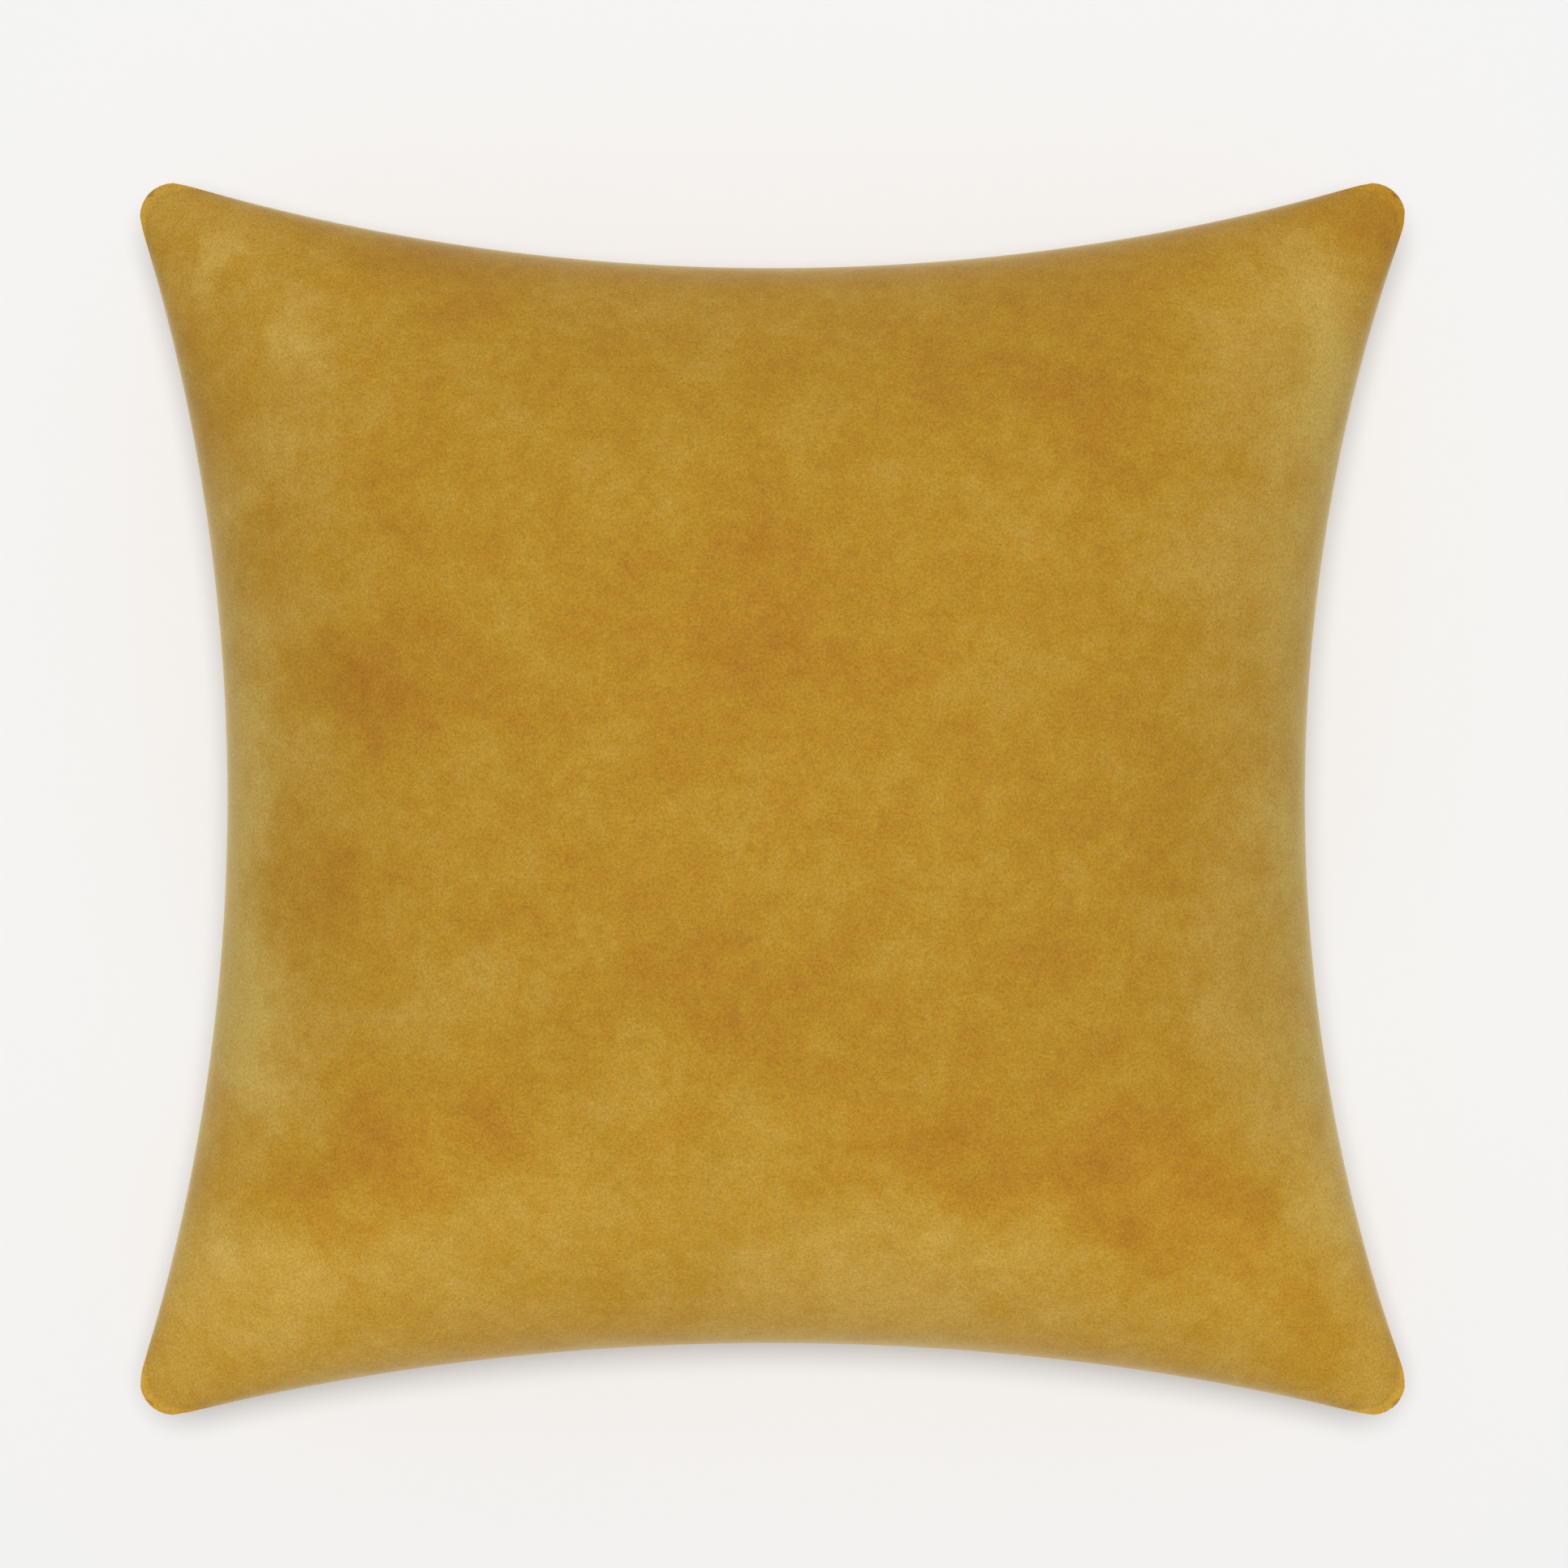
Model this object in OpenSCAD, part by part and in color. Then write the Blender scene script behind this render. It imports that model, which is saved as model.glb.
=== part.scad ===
// Square velvet scatter cushion, lying on its back: a two-piece velvet cover with a
// coil zip set into the back just under the bottom seam, and a filled inner pad.
// Millimetres. +Z is up out of the front face, +Y is towards the top edge.
// The origin is on the surface that the cushion lies on, under the middle of it.

/* [Cushion outline] */
// Width from ear to ear
cushion_w = 490; // [360:1:640]
// Height from ear to ear
cushion_l = 477; // [360:1:640]
// Radius of the rounded ear at each corner
corner_r = 13; // [11:0.5:20]
// How far the top edge dips between its ears
sag_top = 33; // [20:1:50]
// How far the bottom edge rises between its ears
sag_bottom = 28; // [20:1:50]
// How far the left edge pulls in between its ears
sag_left = 34; // [20:1:50]
// How far the right edge pulls in between its ears
sag_right = 39; // [20:1:50]

/* [Fullness] */
// Rise of the front face's crown over the seam
front_rise = 92; // [60:1:120]
// Depth of the back's crown below the seam, before the surface flattens it
back_drop = 86; // [60:1:110]
// Depth of the back's crown that its own weight flattens
foot_sink = 6; // [3:0.5:10]
// Squareness of the bulge: 2 is an ellipse, more is boxier
bulge_power = 2.3; // [2:0.1:3]
// Squareness of the bulge along the zip, where the cover keeps one section
zip_bulge_power = 8; // [4:0.5:12]

/* [Cover fabric] */
// Thickness of the velvet with its pile
cover_wall = 1.6; // [1:0.1:2.4]
// Width of the seam allowance inside the cover
allowance_w = 12; // [10.5:0.5:15]
// Thickness of one ply of the seam allowance
allowance_t = 1.2; // [0.8:0.1:1.6]
// Width of the folded edge at the seam
fold_w = 4; // [3:0.5:5]
// Thickness of the sewing thread
thread_t = 0.5; // [0.3:0.1:0.8]
// Thickness of the overlocking round the raw edge
overlock_t = 0.5; // [0.3:0.1:0.8]

/* [Zip] */
// Length of the zip's opening
zip_len = 340; // [240:5:400]
// Depth of the zip's centre line below the seam
zip_drop = 15; // [13:0.5:18]
// Distance of the zip's centre line inside the bottom seam
zip_inset = 4.2; // [3.5:0.1:5.5]
// Lean of the zip from the vertical, in degrees
zip_tilt = 17; // [10:1:30]
// Gap between the two hems that the slider runs in
zip_gap = 9.2; // [8.8:0.2:11]
// Depth of the turned hem beside the zip
hem_w = 8; // [6:0.5:10]
// Thickness of the turned hem
hem_t = 2.8; // [2.4:0.1:3.4]
// Width of one half of the tape
tape_w = 11; // [9:0.5:14]
// Thickness of the tape
tape_t = 0.6; // [0.4:0.1:0.8]
// Width of one half of the coil
coil_w = 2.2; // [1.6:0.1:2.6]
// Thickness of the coil
coil_t = 1.9; // [1.4:0.1:2.1]
// Space between the coil's halves that the slider's post runs in
coil_gap = 1; // [0.8:0.1:1.4]

/* [Slider] */
// Length of the slider
slider_len = 9; // [8:0.5:12]
// Width of the slider
slider_w = 7.6; // [7:0.2:8.2]
// Thickness of each wing of the slider
wing_t = 1.1; // [0.8:0.1:1.4]
// Running clearance between the slider and the zip
slider_play = 0.3; // [0.2:0.05:0.5]
// Thickness of the post that joins the wings
post_t = 0.6; // [0.4:0.05:0.7]
// Width of the bridge that holds the pull
bridge_w = 1.8; // [1.4:0.1:2.2]
// Thickness of the bridge over the pull's bar
bridge_t = 0.8; // [0.6:0.1:1.2]
// Radius of the pull's cross bar
bar_r = 0.65; // [0.5:0.05:0.8]
// Clearance round the pull's cross bar
bar_play = 0.15; // [0.1:0.05:0.3]
// Length of the pull past its cross bar
pull_len = 18; // [14:1:20]
// Width of the pull
pull_w = 5; // [4.6:0.2:6.4]
// Thickness of the pull
pull_t = 1.2; // [0.8:0.1:1.3]
// Distance of the slider's middle from the end of the opening, closed or open
slider_rest = 20; // [16:1:28]

/* [Inner pad] */
// Space between the cover's inner face and the pad's crown
pad_gap = 1.5; // [1:0.1:3]
// Distance of the pad's ears inside the cover's ears
pad_inset = 22; // [20:0.5:30]
// Thickness of the pad's cotton casing
pad_wall = 0.8; // [0.5:0.1:1.2]
// Space between the casing and the fill
fill_gap = 0.4; // [0.3:0.1:0.8]
// Radius of the pad's corners
pad_corner_r = 15; // [11:1:20]
// Length of the gap in the pad's seam that was closed after filling
closing_len = 110; // [60:5:160]

/* [Care label] */
// Length of the label along the left seam
label_len = 40; // [20:1:60]
// Depth that the label hangs
label_drop = 15; // [8:1:17]
// Thickness of the label's tape
label_t = 0.5; // [0.3:0.1:0.8]

/* [Hidden] */

// Steps round an outline and up a bulge.
side_steps = 10;
corner_steps = 4;
bulge_steps = 7;

half_w = cushion_w / 2;
half_l = cushion_l / 2;
// How far the right, top, left and bottom edges dip.
dips = [sag_right, sag_top, sag_left, sag_bottom];
seam_z = back_drop - foot_sink;

velvet = "#BA8C2D";
velvet_thread = "#A87C26";
cotton = "#EFEBE0";
zip_brown = "#9A7430";

// ---- Outline: four hollow arcs that run into round ears -------------------------------

// Radius of a hollow edge of a given sag that meets an ear tangentially.
function edge_radius(ear_along, sag, r) =
    let (rise = sag - r) (ear_along * ear_along + rise * rise - r * r) / (2 * sag);
// Half the angle that a hollow edge turns through.
function edge_angle(ear_along, sag, r) =
    asin(ear_along / (edge_radius(ear_along, sag, r) + r));

// One hollow edge, as [along, out, place from -1 to 1].
function edge_points(ear_along, half_across, sag, r) =
    let (big = edge_radius(ear_along, sag, r), turn = edge_angle(ear_along, sag, r))
    [for (i = [0 : side_steps]) let (place = 2 * i / side_steps - 1)
        [big * sin(place * turn), half_across - sag + big * (1 - cos(place * turn)), place]];

// The inner points of one round ear.
function ear_points(cx, cy, r, from, to, s, t) =
    [for (i = [1 : corner_steps - 1]) let (a = from + (to - from) * i / corner_steps)
        [cx + r * cos(a), cy + r * sin(a), s, t]];

// The whole outline, drawn in by a distance, as [x, y, s, t]; s and t run from -1 to 1.
// The dips are those of the right, top, left and bottom edges.
function outline(inset, r, dip = dips) =
    let (
        hw = half_w - inset, hl = half_l - inset, ex = hw - r, ey = hl - r,
        ar = edge_angle(ey, dip[0], r), at = edge_angle(ex, dip[1], r),
        al = edge_angle(ey, dip[2], r), ab = edge_angle(ex, dip[3], r)
    )
    concat(
        [for (p = edge_points(ey, hw, dip[0], r)) [p[1], p[0], 1, p[2]]],
        ear_points(ex, ey, r, -ar, 90 + at, 1, 1),
        [for (p = edge_points(ex, hl, dip[1], r)) [-p[0], p[1], -p[2], 1]],
        ear_points(-ex, ey, r, 90 - at, 180 + al, -1, 1),
        [for (p = edge_points(ey, hw, dip[2], r)) [-p[1], -p[0], -1, -p[2]]],
        ear_points(-ex, -ey, r, 180 - al, 270 + ab, -1, -1),
        [for (p = edge_points(ex, hl, dip[3], r)) [p[0], -p[1], p[2], -1]],
        ear_points(ex, -ey, r, 270 - ab, 360 + ar, 1, -1)
    );
round_count = 4 * (side_steps + corner_steps);

// The ear's radius on an outline that is drawn in by a wall or an allowance.
function inner_ear(inset) = max(corner_r - inset, 1);

// ---- Bulge ------------------------------------------------------------------------------

function smooth(x) = let (c = min(max(x, 0), 1)) c * c * (3 - 2 * c);
// Share of the crown's height at a point; zip_side is 1 on the back, where the zip is.
function bulge(s, t, reach, zip_side) =
    let (
        near_zip = t == -1 ? zip_side * smooth((reach - 0.7) / 0.3) * smooth((1 - abs(s)) / 0.3) : 0,
        power = bulge_power + (zip_bulge_power - bulge_power) * near_zip
    )
    sqrt(max(1 - pow(abs(s * reach), power), 0) * max(1 - pow(abs(t * reach), bulge_power), 0));

// One ring of the bulge; way is 1 for the front and -1 for the back.
function bulge_ring(inset, r, height, step, way, lowest, dip = dips) =
    let (reach = cos(90 * step / bulge_steps))
    [for (p = outline(inset, r, dip))
        [p[0] * reach, p[1] * reach,
         max(seam_z + way * height * bulge(p[2], p[3], reach, way < 0 ? 1 : 0), lowest)]];
function flat_ring(inset, r, z, dip = dips) = [for (p = outline(inset, r, dip)) [p[0], p[1], z]];
function crown(height, way, lowest) = [0, 0, max(seam_z + way * height, lowest)];

// ---- Solids from rings ------------------------------------------------------------------

// A closed solid from a first point, rings of one count, and a last point. Past the ring
// numbered split the surface runs back inwards, and its facets are cut the other way, so that
// the facets of nested surfaces lie alike.
module lofted(first, rings, last, split, turned) {
    n = round_count;
    k = len(rings);
    end = 1 + n * k;
    function at(ring, i) = 1 + ring * n + i % n;
    faces = concat(
        [for (i = [0 : n - 1]) [0, at(0, i + 1), at(0, i)]],
        [for (j = [0 : k - 2], i = [0 : n - 1])
            [at(j, i), at(j, i + 1), at(j + 1, j < split ? i + 1 : i)]],
        [for (j = [0 : k - 2], i = [0 : n - 1])
            [at(j, j < split ? i : i + 1), at(j + 1, i + 1), at(j + 1, i)]],
        [for (i = [0 : n - 1]) [end, at(k - 1, i), at(k - 1, i + 1)]]
    );
    points = concat([first], [for (ring = rings, p = ring) p], [last]);
    polyhedron(points, turned ? [for (f = faces) [f[0], f[2], f[1]]] : faces, convexity = 6);
}

// A closed hoop that follows the outline, between two insets and two heights.
module outline_hoop(inset_from, inset_to, z_from, z_to, r_from, r_to, dip = dips) {
    n = round_count;
    rings = [
        flat_ring(inset_from, r_from, z_from, dip), flat_ring(inset_to, r_to, z_from, dip),
        flat_ring(inset_to, r_to, z_to, dip), flat_ring(inset_from, r_from, z_to, dip)
    ];
    function at(ring, i) = (ring % 4) * n + i % n;
    faces = concat(
        [for (j = [0 : 3], i = [0 : n - 1]) [at(j, i), at(j + 1, i + 1), at(j, i + 1)]],
        [for (j = [0 : 3], i = [0 : n - 1]) [at(j, i), at(j + 1, i), at(j + 1, i + 1)]]
    );
    polyhedron([for (ring = rings, p = ring) p], faces, convexity = 6);
}

// A cover panel: its bulged wall, and the seam allowance turned in at its edge.
module cover_shell(height, way, lowest) {
    outer = [for (j = [bulge_steps - 1 : -1 : 0])
        bulge_ring(0, corner_r, height, j, way, -foot_sink)];
    seam = [
        flat_ring(allowance_w, inner_ear(allowance_w), seam_z),
        flat_ring(allowance_w, inner_ear(allowance_w), seam_z + way * allowance_t),
        flat_ring(fold_w, inner_ear(fold_w), seam_z + way * allowance_t)
    ];
    inner = [for (j = [1 : bulge_steps - 1])
        bulge_ring(cover_wall, inner_ear(cover_wall), height - cover_wall, j, way, lowest)];
    lofted(crown(height, way, -foot_sink), concat(outer, seam, inner),
        crown(height - cover_wall, way, lowest), bulge_steps, way < 0);
}

// The pad's ears keep clear of the seam allowance, however pointed the cover's ears are.
pad_clear = 0.8;
steepest = max([for (i = [0 : 3])
    edge_angle((i % 2 == 0 ? half_l : half_w) - corner_r, dips[i], corner_r)]);
pad_in = max(pad_inset,
    (allowance_w + overlock_t + pad_clear) / (cos(steepest) - sin(steepest)));

// The pad's edges have the same curve as the cover's, over their own shorter span.
function pad_share(half) = pow((half - pad_in - pad_corner_r) / (half - corner_r), 2);
pad_dips = [
    sag_right * pad_share(half_l), sag_top * pad_share(half_w),
    sag_left * pad_share(half_l), sag_bottom * pad_share(half_w)
];

// A pad panel: a thin bulged wall with a flat rim at its seam.
module pad_shell(height, way, lowest) {
    outer = [for (j = [bulge_steps - 1 : -1 : 0])
        bulge_ring(pad_in, pad_corner_r, height, j, way, lowest, pad_dips)];
    inner = [for (j = [0 : bulge_steps - 1])
        bulge_ring(pad_in + pad_wall, pad_corner_r, height - pad_wall, j, way,
            lowest + pad_wall, pad_dips)];
    lofted(crown(height, way, lowest), concat(outer, inner),
        crown(height - pad_wall, way, lowest + pad_wall), bulge_steps, way < 0);
}

// ---- Zip frame --------------------------------------------------------------------------

// The zip bends round the same centre as the bottom seam.
ear_x = half_w - corner_r;
bottom_r = edge_radius(ear_x, sag_bottom, corner_r);
zip_centre_y = -(half_l - sag_bottom + bottom_r);
zip_r = bottom_r + zip_inset;
zip_z = seam_z - zip_drop;
zip_turn = zip_len / zip_r * 180 / PI;
slider_turn = (zip_len / 2 - slider_rest) / zip_r * 180 / PI;
tape_play = 0.1;

// Layers of the zip, counted inwards from the cover's outer face.
tape_v = hem_t;
coil_v = tape_v - coil_t;
outer_wing_v = coil_v - slider_play - wing_t;
inner_wing_v = tape_v + tape_t + slider_play;
bar_v = outer_wing_v - bar_play - bar_r;
bridge_v = bar_v - bar_r - bar_play - bridge_t;

// Places a flat section drawn as [down along the zip's face, inwards] on the zip's line.
module zip_section() {
    translate([zip_r, zip_z]) rotate(zip_tilt - 90) children();
}
// Sweeps a section along the zip, over an angle that is centred on the cushion's middle.
module along_zip(turn) {
    translate([0, zip_centre_y, 0]) rotate([0, 0, 90 - turn / 2])
        rotate_extrude(angle = turn, $fn = 360) zip_section() children();
}
// Places a solid, drawn as [down, inwards, along], on the zip at an angle from the middle.
module on_zip(turn) {
    translate([0, zip_centre_y, 0]) rotate([0, 0, 90 + turn]) translate([zip_r, 0, zip_z])
        rotate([90, 0, 0]) rotate([0, 0, zip_tilt - 90]) children();
}
// A box in the zip's section: from and to down the face, and from and to inwards.
module section_box(u_from, u_to, v_from, v_to) {
    translate([u_from, v_from]) square([u_to - u_from, v_to - v_from]);
}
function turn_of(length) = length / zip_r * 180 / PI;

// ---- Cover ------------------------------------------------------------------------------

module front_panel() {
    color(velvet) cover_shell(front_rise, 1, 0);
}

module back_panel() {
    color(velvet) difference() {
        cover_shell(back_drop, -1, cover_wall);
        // the foot that the cushion's weight flattens
        translate([-half_w, -half_l, -foot_sink - 1])
            cube([cushion_w, cushion_l, foot_sink + 1]);
        // the opening that the strip and the zip fill
        along_zip(zip_turn)
            section_box(-zip_drop * 2, zip_gap / 2, -zip_drop, allowance_w * 2);
        // room for the lower tape behind the hem
        along_zip(zip_turn + turn_of(2 * tape_play))
            section_box(0, coil_gap / 2 + tape_w + tape_play, tape_v - tape_play, allowance_w);
    }
}

// The narrow strip between the bottom seam and the zip, with its seam allowance and hem.
module back_strip() {
    allowance_end = zip_r - zip_inset + allowance_w - cover_wall * 2;
    color(velvet) translate([0, zip_centre_y, 0])
        rotate([0, 0, 90 - zip_turn / 2]) rotate_extrude(angle = zip_turn, $fn = 360)
            intersection() {
                union() {
                    zip_section() section_box(-zip_drop * 2, -zip_gap / 2, 0, cover_wall);
                    zip_section()
                        section_box(-zip_gap / 2 - hem_w, -zip_gap / 2, 0, hem_t);
                    translate([bottom_r + cover_wall, seam_z - allowance_t])
                        square([allowance_end - bottom_r - cover_wall, allowance_t]);
                }
                translate([bottom_r, 0]) square([allowance_w * 2, seam_z]);
            }
}

// Distance of the lock stitches inside the cushion's edge.
seam_in = (fold_w + allowance_w) / 2;
module seam_hoop(inset_from, inset_to, z_from, z_to) {
    outline_hoop(inset_from, inset_to, z_from, z_to, inner_ear(inset_from), inner_ear(inset_to));
}

module seam_needle_thread() {
    color(velvet_thread) seam_hoop(seam_in, seam_in + thread_t,
        seam_z + allowance_t, seam_z + allowance_t + thread_t);
}

module seam_bobbin_thread() {
    color(velvet_thread) seam_hoop(seam_in, seam_in + thread_t,
        seam_z - allowance_t - thread_t, seam_z - allowance_t);
}

module seam_overlock() {
    color(velvet_thread) seam_hoop(allowance_w, allowance_w + overlock_t,
        seam_z - allowance_t, seam_z + allowance_t);
}

// ---- Zip --------------------------------------------------------------------------------

module zip_tape(side) {
    from = side > 0 ? coil_gap / 2 : -coil_gap / 2 - tape_w;
    color(zip_brown) along_zip(zip_turn)
        section_box(from, from + tape_w, tape_v, tape_v + tape_t);
}
module zip_tape_upper() zip_tape(-1);
module zip_tape_lower() zip_tape(1);

// The coil and its stops end where the slider's two ends stop.
coil_half = zip_len / 2 - slider_rest + slider_len / 2 + slider_play;
module zip_coil(side) {
    from = side > 0 ? coil_gap / 2 : -coil_gap / 2 - coil_w;
    bite = coil_t / 4;
    color(zip_brown) along_zip(2 * turn_of(coil_half)) union() {
        section_box(from, from + coil_w, coil_v + bite, tape_v);
        section_box(from + bite, from + coil_w - bite, coil_v, tape_v);
    }
}
module zip_coil_upper() zip_coil(-1);
module zip_coil_lower() zip_coil(1);

// Length of a stop along the zip, and the angle of its far end.
stop_len = 2.4;
stop_turn = turn_of(coil_half + stop_len);

module zip_top_stops() {
    color("silver") for (side = [-1, 1])
        on_zip(stop_turn)
            translate([side > 0 ? coil_gap / 2 : -coil_gap / 2 - coil_w, coil_v, 0])
                cube([coil_w, coil_t, stop_len]);
}

module zip_bottom_stop() {
    color("silver") on_zip(-stop_turn)
        translate([-coil_gap / 2 - coil_w, coil_v, -stop_len])
            cube([coil_gap + 2 * coil_w, coil_t, stop_len]);
}

// The slider: an outer and an inner wing on one post, and the bridge over the pull's bar.
bridge_len = slider_len - 1;
bridge_leg = 1.4;
module zip_slider() {
    color("silver") on_zip(slider_turn) difference() {
        union() {
            translate([-slider_w / 2, outer_wing_v, -slider_len / 2])
                cube([slider_w, wing_t, slider_len]);
            translate([-slider_w / 2, inner_wing_v, -slider_len / 2])
                cube([slider_w, wing_t, slider_len]);
            translate([-post_t / 2, outer_wing_v, -slider_len / 4])
                cube([post_t, inner_wing_v - outer_wing_v + wing_t, slider_len / 2]);
            translate([-bridge_w / 2, bridge_v, -bridge_len / 2])
                cube([bridge_w, outer_wing_v - bridge_v + wing_t / 2, bridge_len]);
        }
        // the window that the pull's bar lies in
        translate([-bridge_w, bridge_v + bridge_t, -bridge_len / 2 + bridge_leg])
            cube([bridge_w * 2, outer_wing_v - bridge_v - bridge_t, bridge_len - 2 * bridge_leg]);
    }
}

// The pull: a cross bar under the bridge, two arms beside it and a round-ended tab.
arm_gap = bridge_w + 4 * bar_play;
pull_window = sqrt(pow(bridge_len / 2, 2) + pow(bar_v - bridge_v, 2)) + 2 * bar_play;
module zip_pull() {
    color("silver") on_zip(slider_turn) translate([0, bar_v, 0]) union() {
        rotate([0, 90, 0]) translate([0, 0, -pull_w / 2]) cylinder(r = bar_r, h = pull_w, $fn = 32);
        translate([0, pull_t / 2, 0]) rotate([90, 0, 0]) linear_extrude(pull_t) difference() {
            union() {
                translate([-pull_w / 2, 0]) square([pull_w, pull_len - pull_w / 2]);
                translate([0, pull_len - pull_w / 2]) circle(r = pull_w / 2, $fn = 48);
            }
            translate([-arm_gap / 2, -bar_r]) square([arm_gap, pull_window + bar_r]);
        }
    }
}

// A row of thread on each hem, clear of its folded edge.
stitch_in = 2;
stitch_w = 0.6;
stitch_len = 2.5;
stitch_gap = 1.5;
module zip_stitching(side) {
    count = floor((zip_len - slider_rest) / (stitch_len + stitch_gap));
    pitch = turn_of(stitch_len + stitch_gap);
    u = side * (zip_gap / 2 + stitch_in);
    color(velvet_thread) for (i = [0 : count - 1])
        on_zip((i - (count - 1) / 2) * pitch)
            translate([u - stitch_w / 2, tape_v + tape_t, -stitch_len / 2])
                cube([stitch_w, thread_t, stitch_len]);
}
module zip_stitching_upper() zip_stitching(-1);
module zip_stitching_lower() zip_stitching(1);

// The dense bars of thread that close each end of the zip.
bartack_w = 2;
module zip_bartacks() {
    turn = turn_of(zip_len / 2 - bartack_w);
    color(velvet_thread) for (way = [-1, 1]) on_zip(way * turn)
        translate([-zip_gap / 2, tape_v - thread_t, -bartack_w / 2])
            cube([zip_gap, thread_t, bartack_w]);
}

module care_label() {
    x = -(half_w - sag_left) + allowance_w - label_t * 2;
    color("white") translate([x - label_t, -label_len / 2, seam_z - allowance_t - label_drop])
        cube([label_t, label_len, label_drop]);
}

// ---- Inner pad --------------------------------------------------------------------------

pad_front = front_rise - cover_wall - pad_gap;
pad_back = back_drop - cover_wall - pad_gap;
pad_floor = cover_wall + pad_gap;

module pad_front_panel() {
    color(cotton) pad_shell(pad_front, 1, 0);
}
module pad_back_panel() {
    color(cotton) pad_shell(pad_back, -1, pad_floor);
}
module pad_seam_thread() {
    color("white") outline_hoop(pad_in - thread_t, pad_in, seam_z - thread_t / 2,
        seam_z + thread_t / 2, pad_corner_r, pad_corner_r, pad_dips);
}
// The row that closed the gap the pad was filled through, along the seam on the top edge.
pad_ear_x = half_w - pad_in - pad_corner_r;
pad_top_r = edge_radius(pad_ear_x, pad_dips[1], pad_corner_r);
closing_gap = thread_t;
module pad_closing_thread() {
    turn = closing_len / pad_top_r * 180 / PI;
    centre_y = half_l - pad_in - pad_dips[1] + pad_top_r;
    from = pad_top_r - 2 * thread_t - closing_gap;
    color("white") translate([0, centre_y, seam_z - thread_t / 2])
        rotate([0, 0, 270 - turn / 2]) rotate_extrude(angle = turn, $fn = 360)
            translate([from, 0]) square([thread_t, thread_t]);
}
module pad_fill() {
    inset = pad_in + pad_wall + fill_gap;
    shrink = pad_wall + fill_gap;
    upper = [for (j = [bulge_steps - 1 : -1 : 0])
        bulge_ring(inset, pad_corner_r, pad_front - shrink, j, 1, 0, pad_dips)];
    lower = [for (j = [1 : bulge_steps - 1])
        bulge_ring(inset, pad_corner_r, pad_back - shrink, j, -1, pad_floor + shrink, pad_dips)];
    color("white") lofted(crown(pad_front - shrink, 1, 0), concat(upper, lower),
        crown(pad_back - shrink, -1, pad_floor + shrink), bulge_steps - 1, false);
}

front_panel();
back_panel();
back_strip();
seam_needle_thread();
seam_bobbin_thread();
seam_overlock();
zip_tape_upper();
zip_tape_lower();
zip_coil_upper();
zip_coil_lower();
zip_top_stops();
zip_bottom_stop();
zip_slider();
zip_pull();
zip_stitching_upper();
zip_stitching_lower();
zip_bartacks();
care_label();
pad_front_panel();
pad_back_panel();
pad_seam_thread();
pad_closing_thread();
pad_fill();
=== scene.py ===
# %% [markdown]
# # A velvet throw pillow
# The pillow is a zipped velvet cover over a filled pad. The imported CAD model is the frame: it
# says where each piece is. Here each soft piece gets its real form and each finish its real look.

import math

import bpy
import numpy as np
from mathutils import Matrix, Vector


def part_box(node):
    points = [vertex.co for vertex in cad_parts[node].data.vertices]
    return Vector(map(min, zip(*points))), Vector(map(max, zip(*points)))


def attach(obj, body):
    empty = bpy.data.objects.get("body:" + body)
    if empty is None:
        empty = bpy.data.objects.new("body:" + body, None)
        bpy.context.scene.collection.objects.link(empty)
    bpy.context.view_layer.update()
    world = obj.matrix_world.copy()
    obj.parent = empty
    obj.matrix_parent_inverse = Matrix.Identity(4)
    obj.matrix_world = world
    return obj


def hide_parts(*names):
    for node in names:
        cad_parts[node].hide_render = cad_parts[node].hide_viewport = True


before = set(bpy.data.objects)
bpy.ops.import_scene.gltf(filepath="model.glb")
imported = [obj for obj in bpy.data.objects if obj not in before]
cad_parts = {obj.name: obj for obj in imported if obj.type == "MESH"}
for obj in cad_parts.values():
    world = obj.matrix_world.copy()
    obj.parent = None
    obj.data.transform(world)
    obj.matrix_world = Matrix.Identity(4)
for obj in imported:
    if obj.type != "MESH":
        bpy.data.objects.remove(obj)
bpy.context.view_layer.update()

# %% [markdown]
# ## Sizes
# The outline is four hollow arcs that run into round ears, as a filled square cover pulls itself.
# Its spans and the dips of its edges are the cover's own sizes, in millimetres; the heights of
# its seam and crown come from the frame.

# %% Sizes of the cover
MM = 0.001
front_low, front_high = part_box("front_panel")
HALF_W = 490 * MM / 2
HALF_L = 477 * MM / 2
SEAM_Z = front_low.z
CROWN_Z = front_high.z
EAR_R = 13 * MM
DIPS = {"right": 39 * MM, "top": 33 * MM, "left": 34 * MM, "bottom": 28 * MM}
BACK_DROP = 86 * MM
BULGE_POWER = 2.3
ZIP_BULGE_POWER = 8
VELVET_T = 1.6 * MM
print(f"half spans {HALF_W / MM:.1f} x {HALF_L / MM:.1f} mm, seam at {SEAM_Z / MM:.1f} mm")

# %% [markdown]
# ## Camera
# A cushion is shown best from straight above as it lies flat, with a long lens, so that its
# square stays square. The lens and the distance set how much of the floor the picture takes in.

# %% Place the camera
LENS_MM = 100
SENSOR_MM = 36
VIEW_W = 607.2 * MM
AIM = (4.4 * MM, 5.8 * MM)
camera_height = SEAM_Z + VIEW_W * LENS_MM / SENSOR_MM
bpy.ops.object.camera_add(location=(AIM[0], AIM[1], camera_height), rotation=(0, 0, 0))
camera = bpy.context.object
camera.name = "camera"
camera.data.lens = LENS_MM
camera.data.sensor_width = SENSOR_MM
camera.data.clip_end = 20
bpy.context.scene.camera = camera
print(f"camera {camera_height:.3f} m above the floor")

# %% [markdown]
# ## Light
# One large round softbox hangs high over the pillow, a little towards its top edge, so that the
# shadow is a narrow soft rim that is strongest below. A pale sky fills in the rest evenly.

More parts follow.
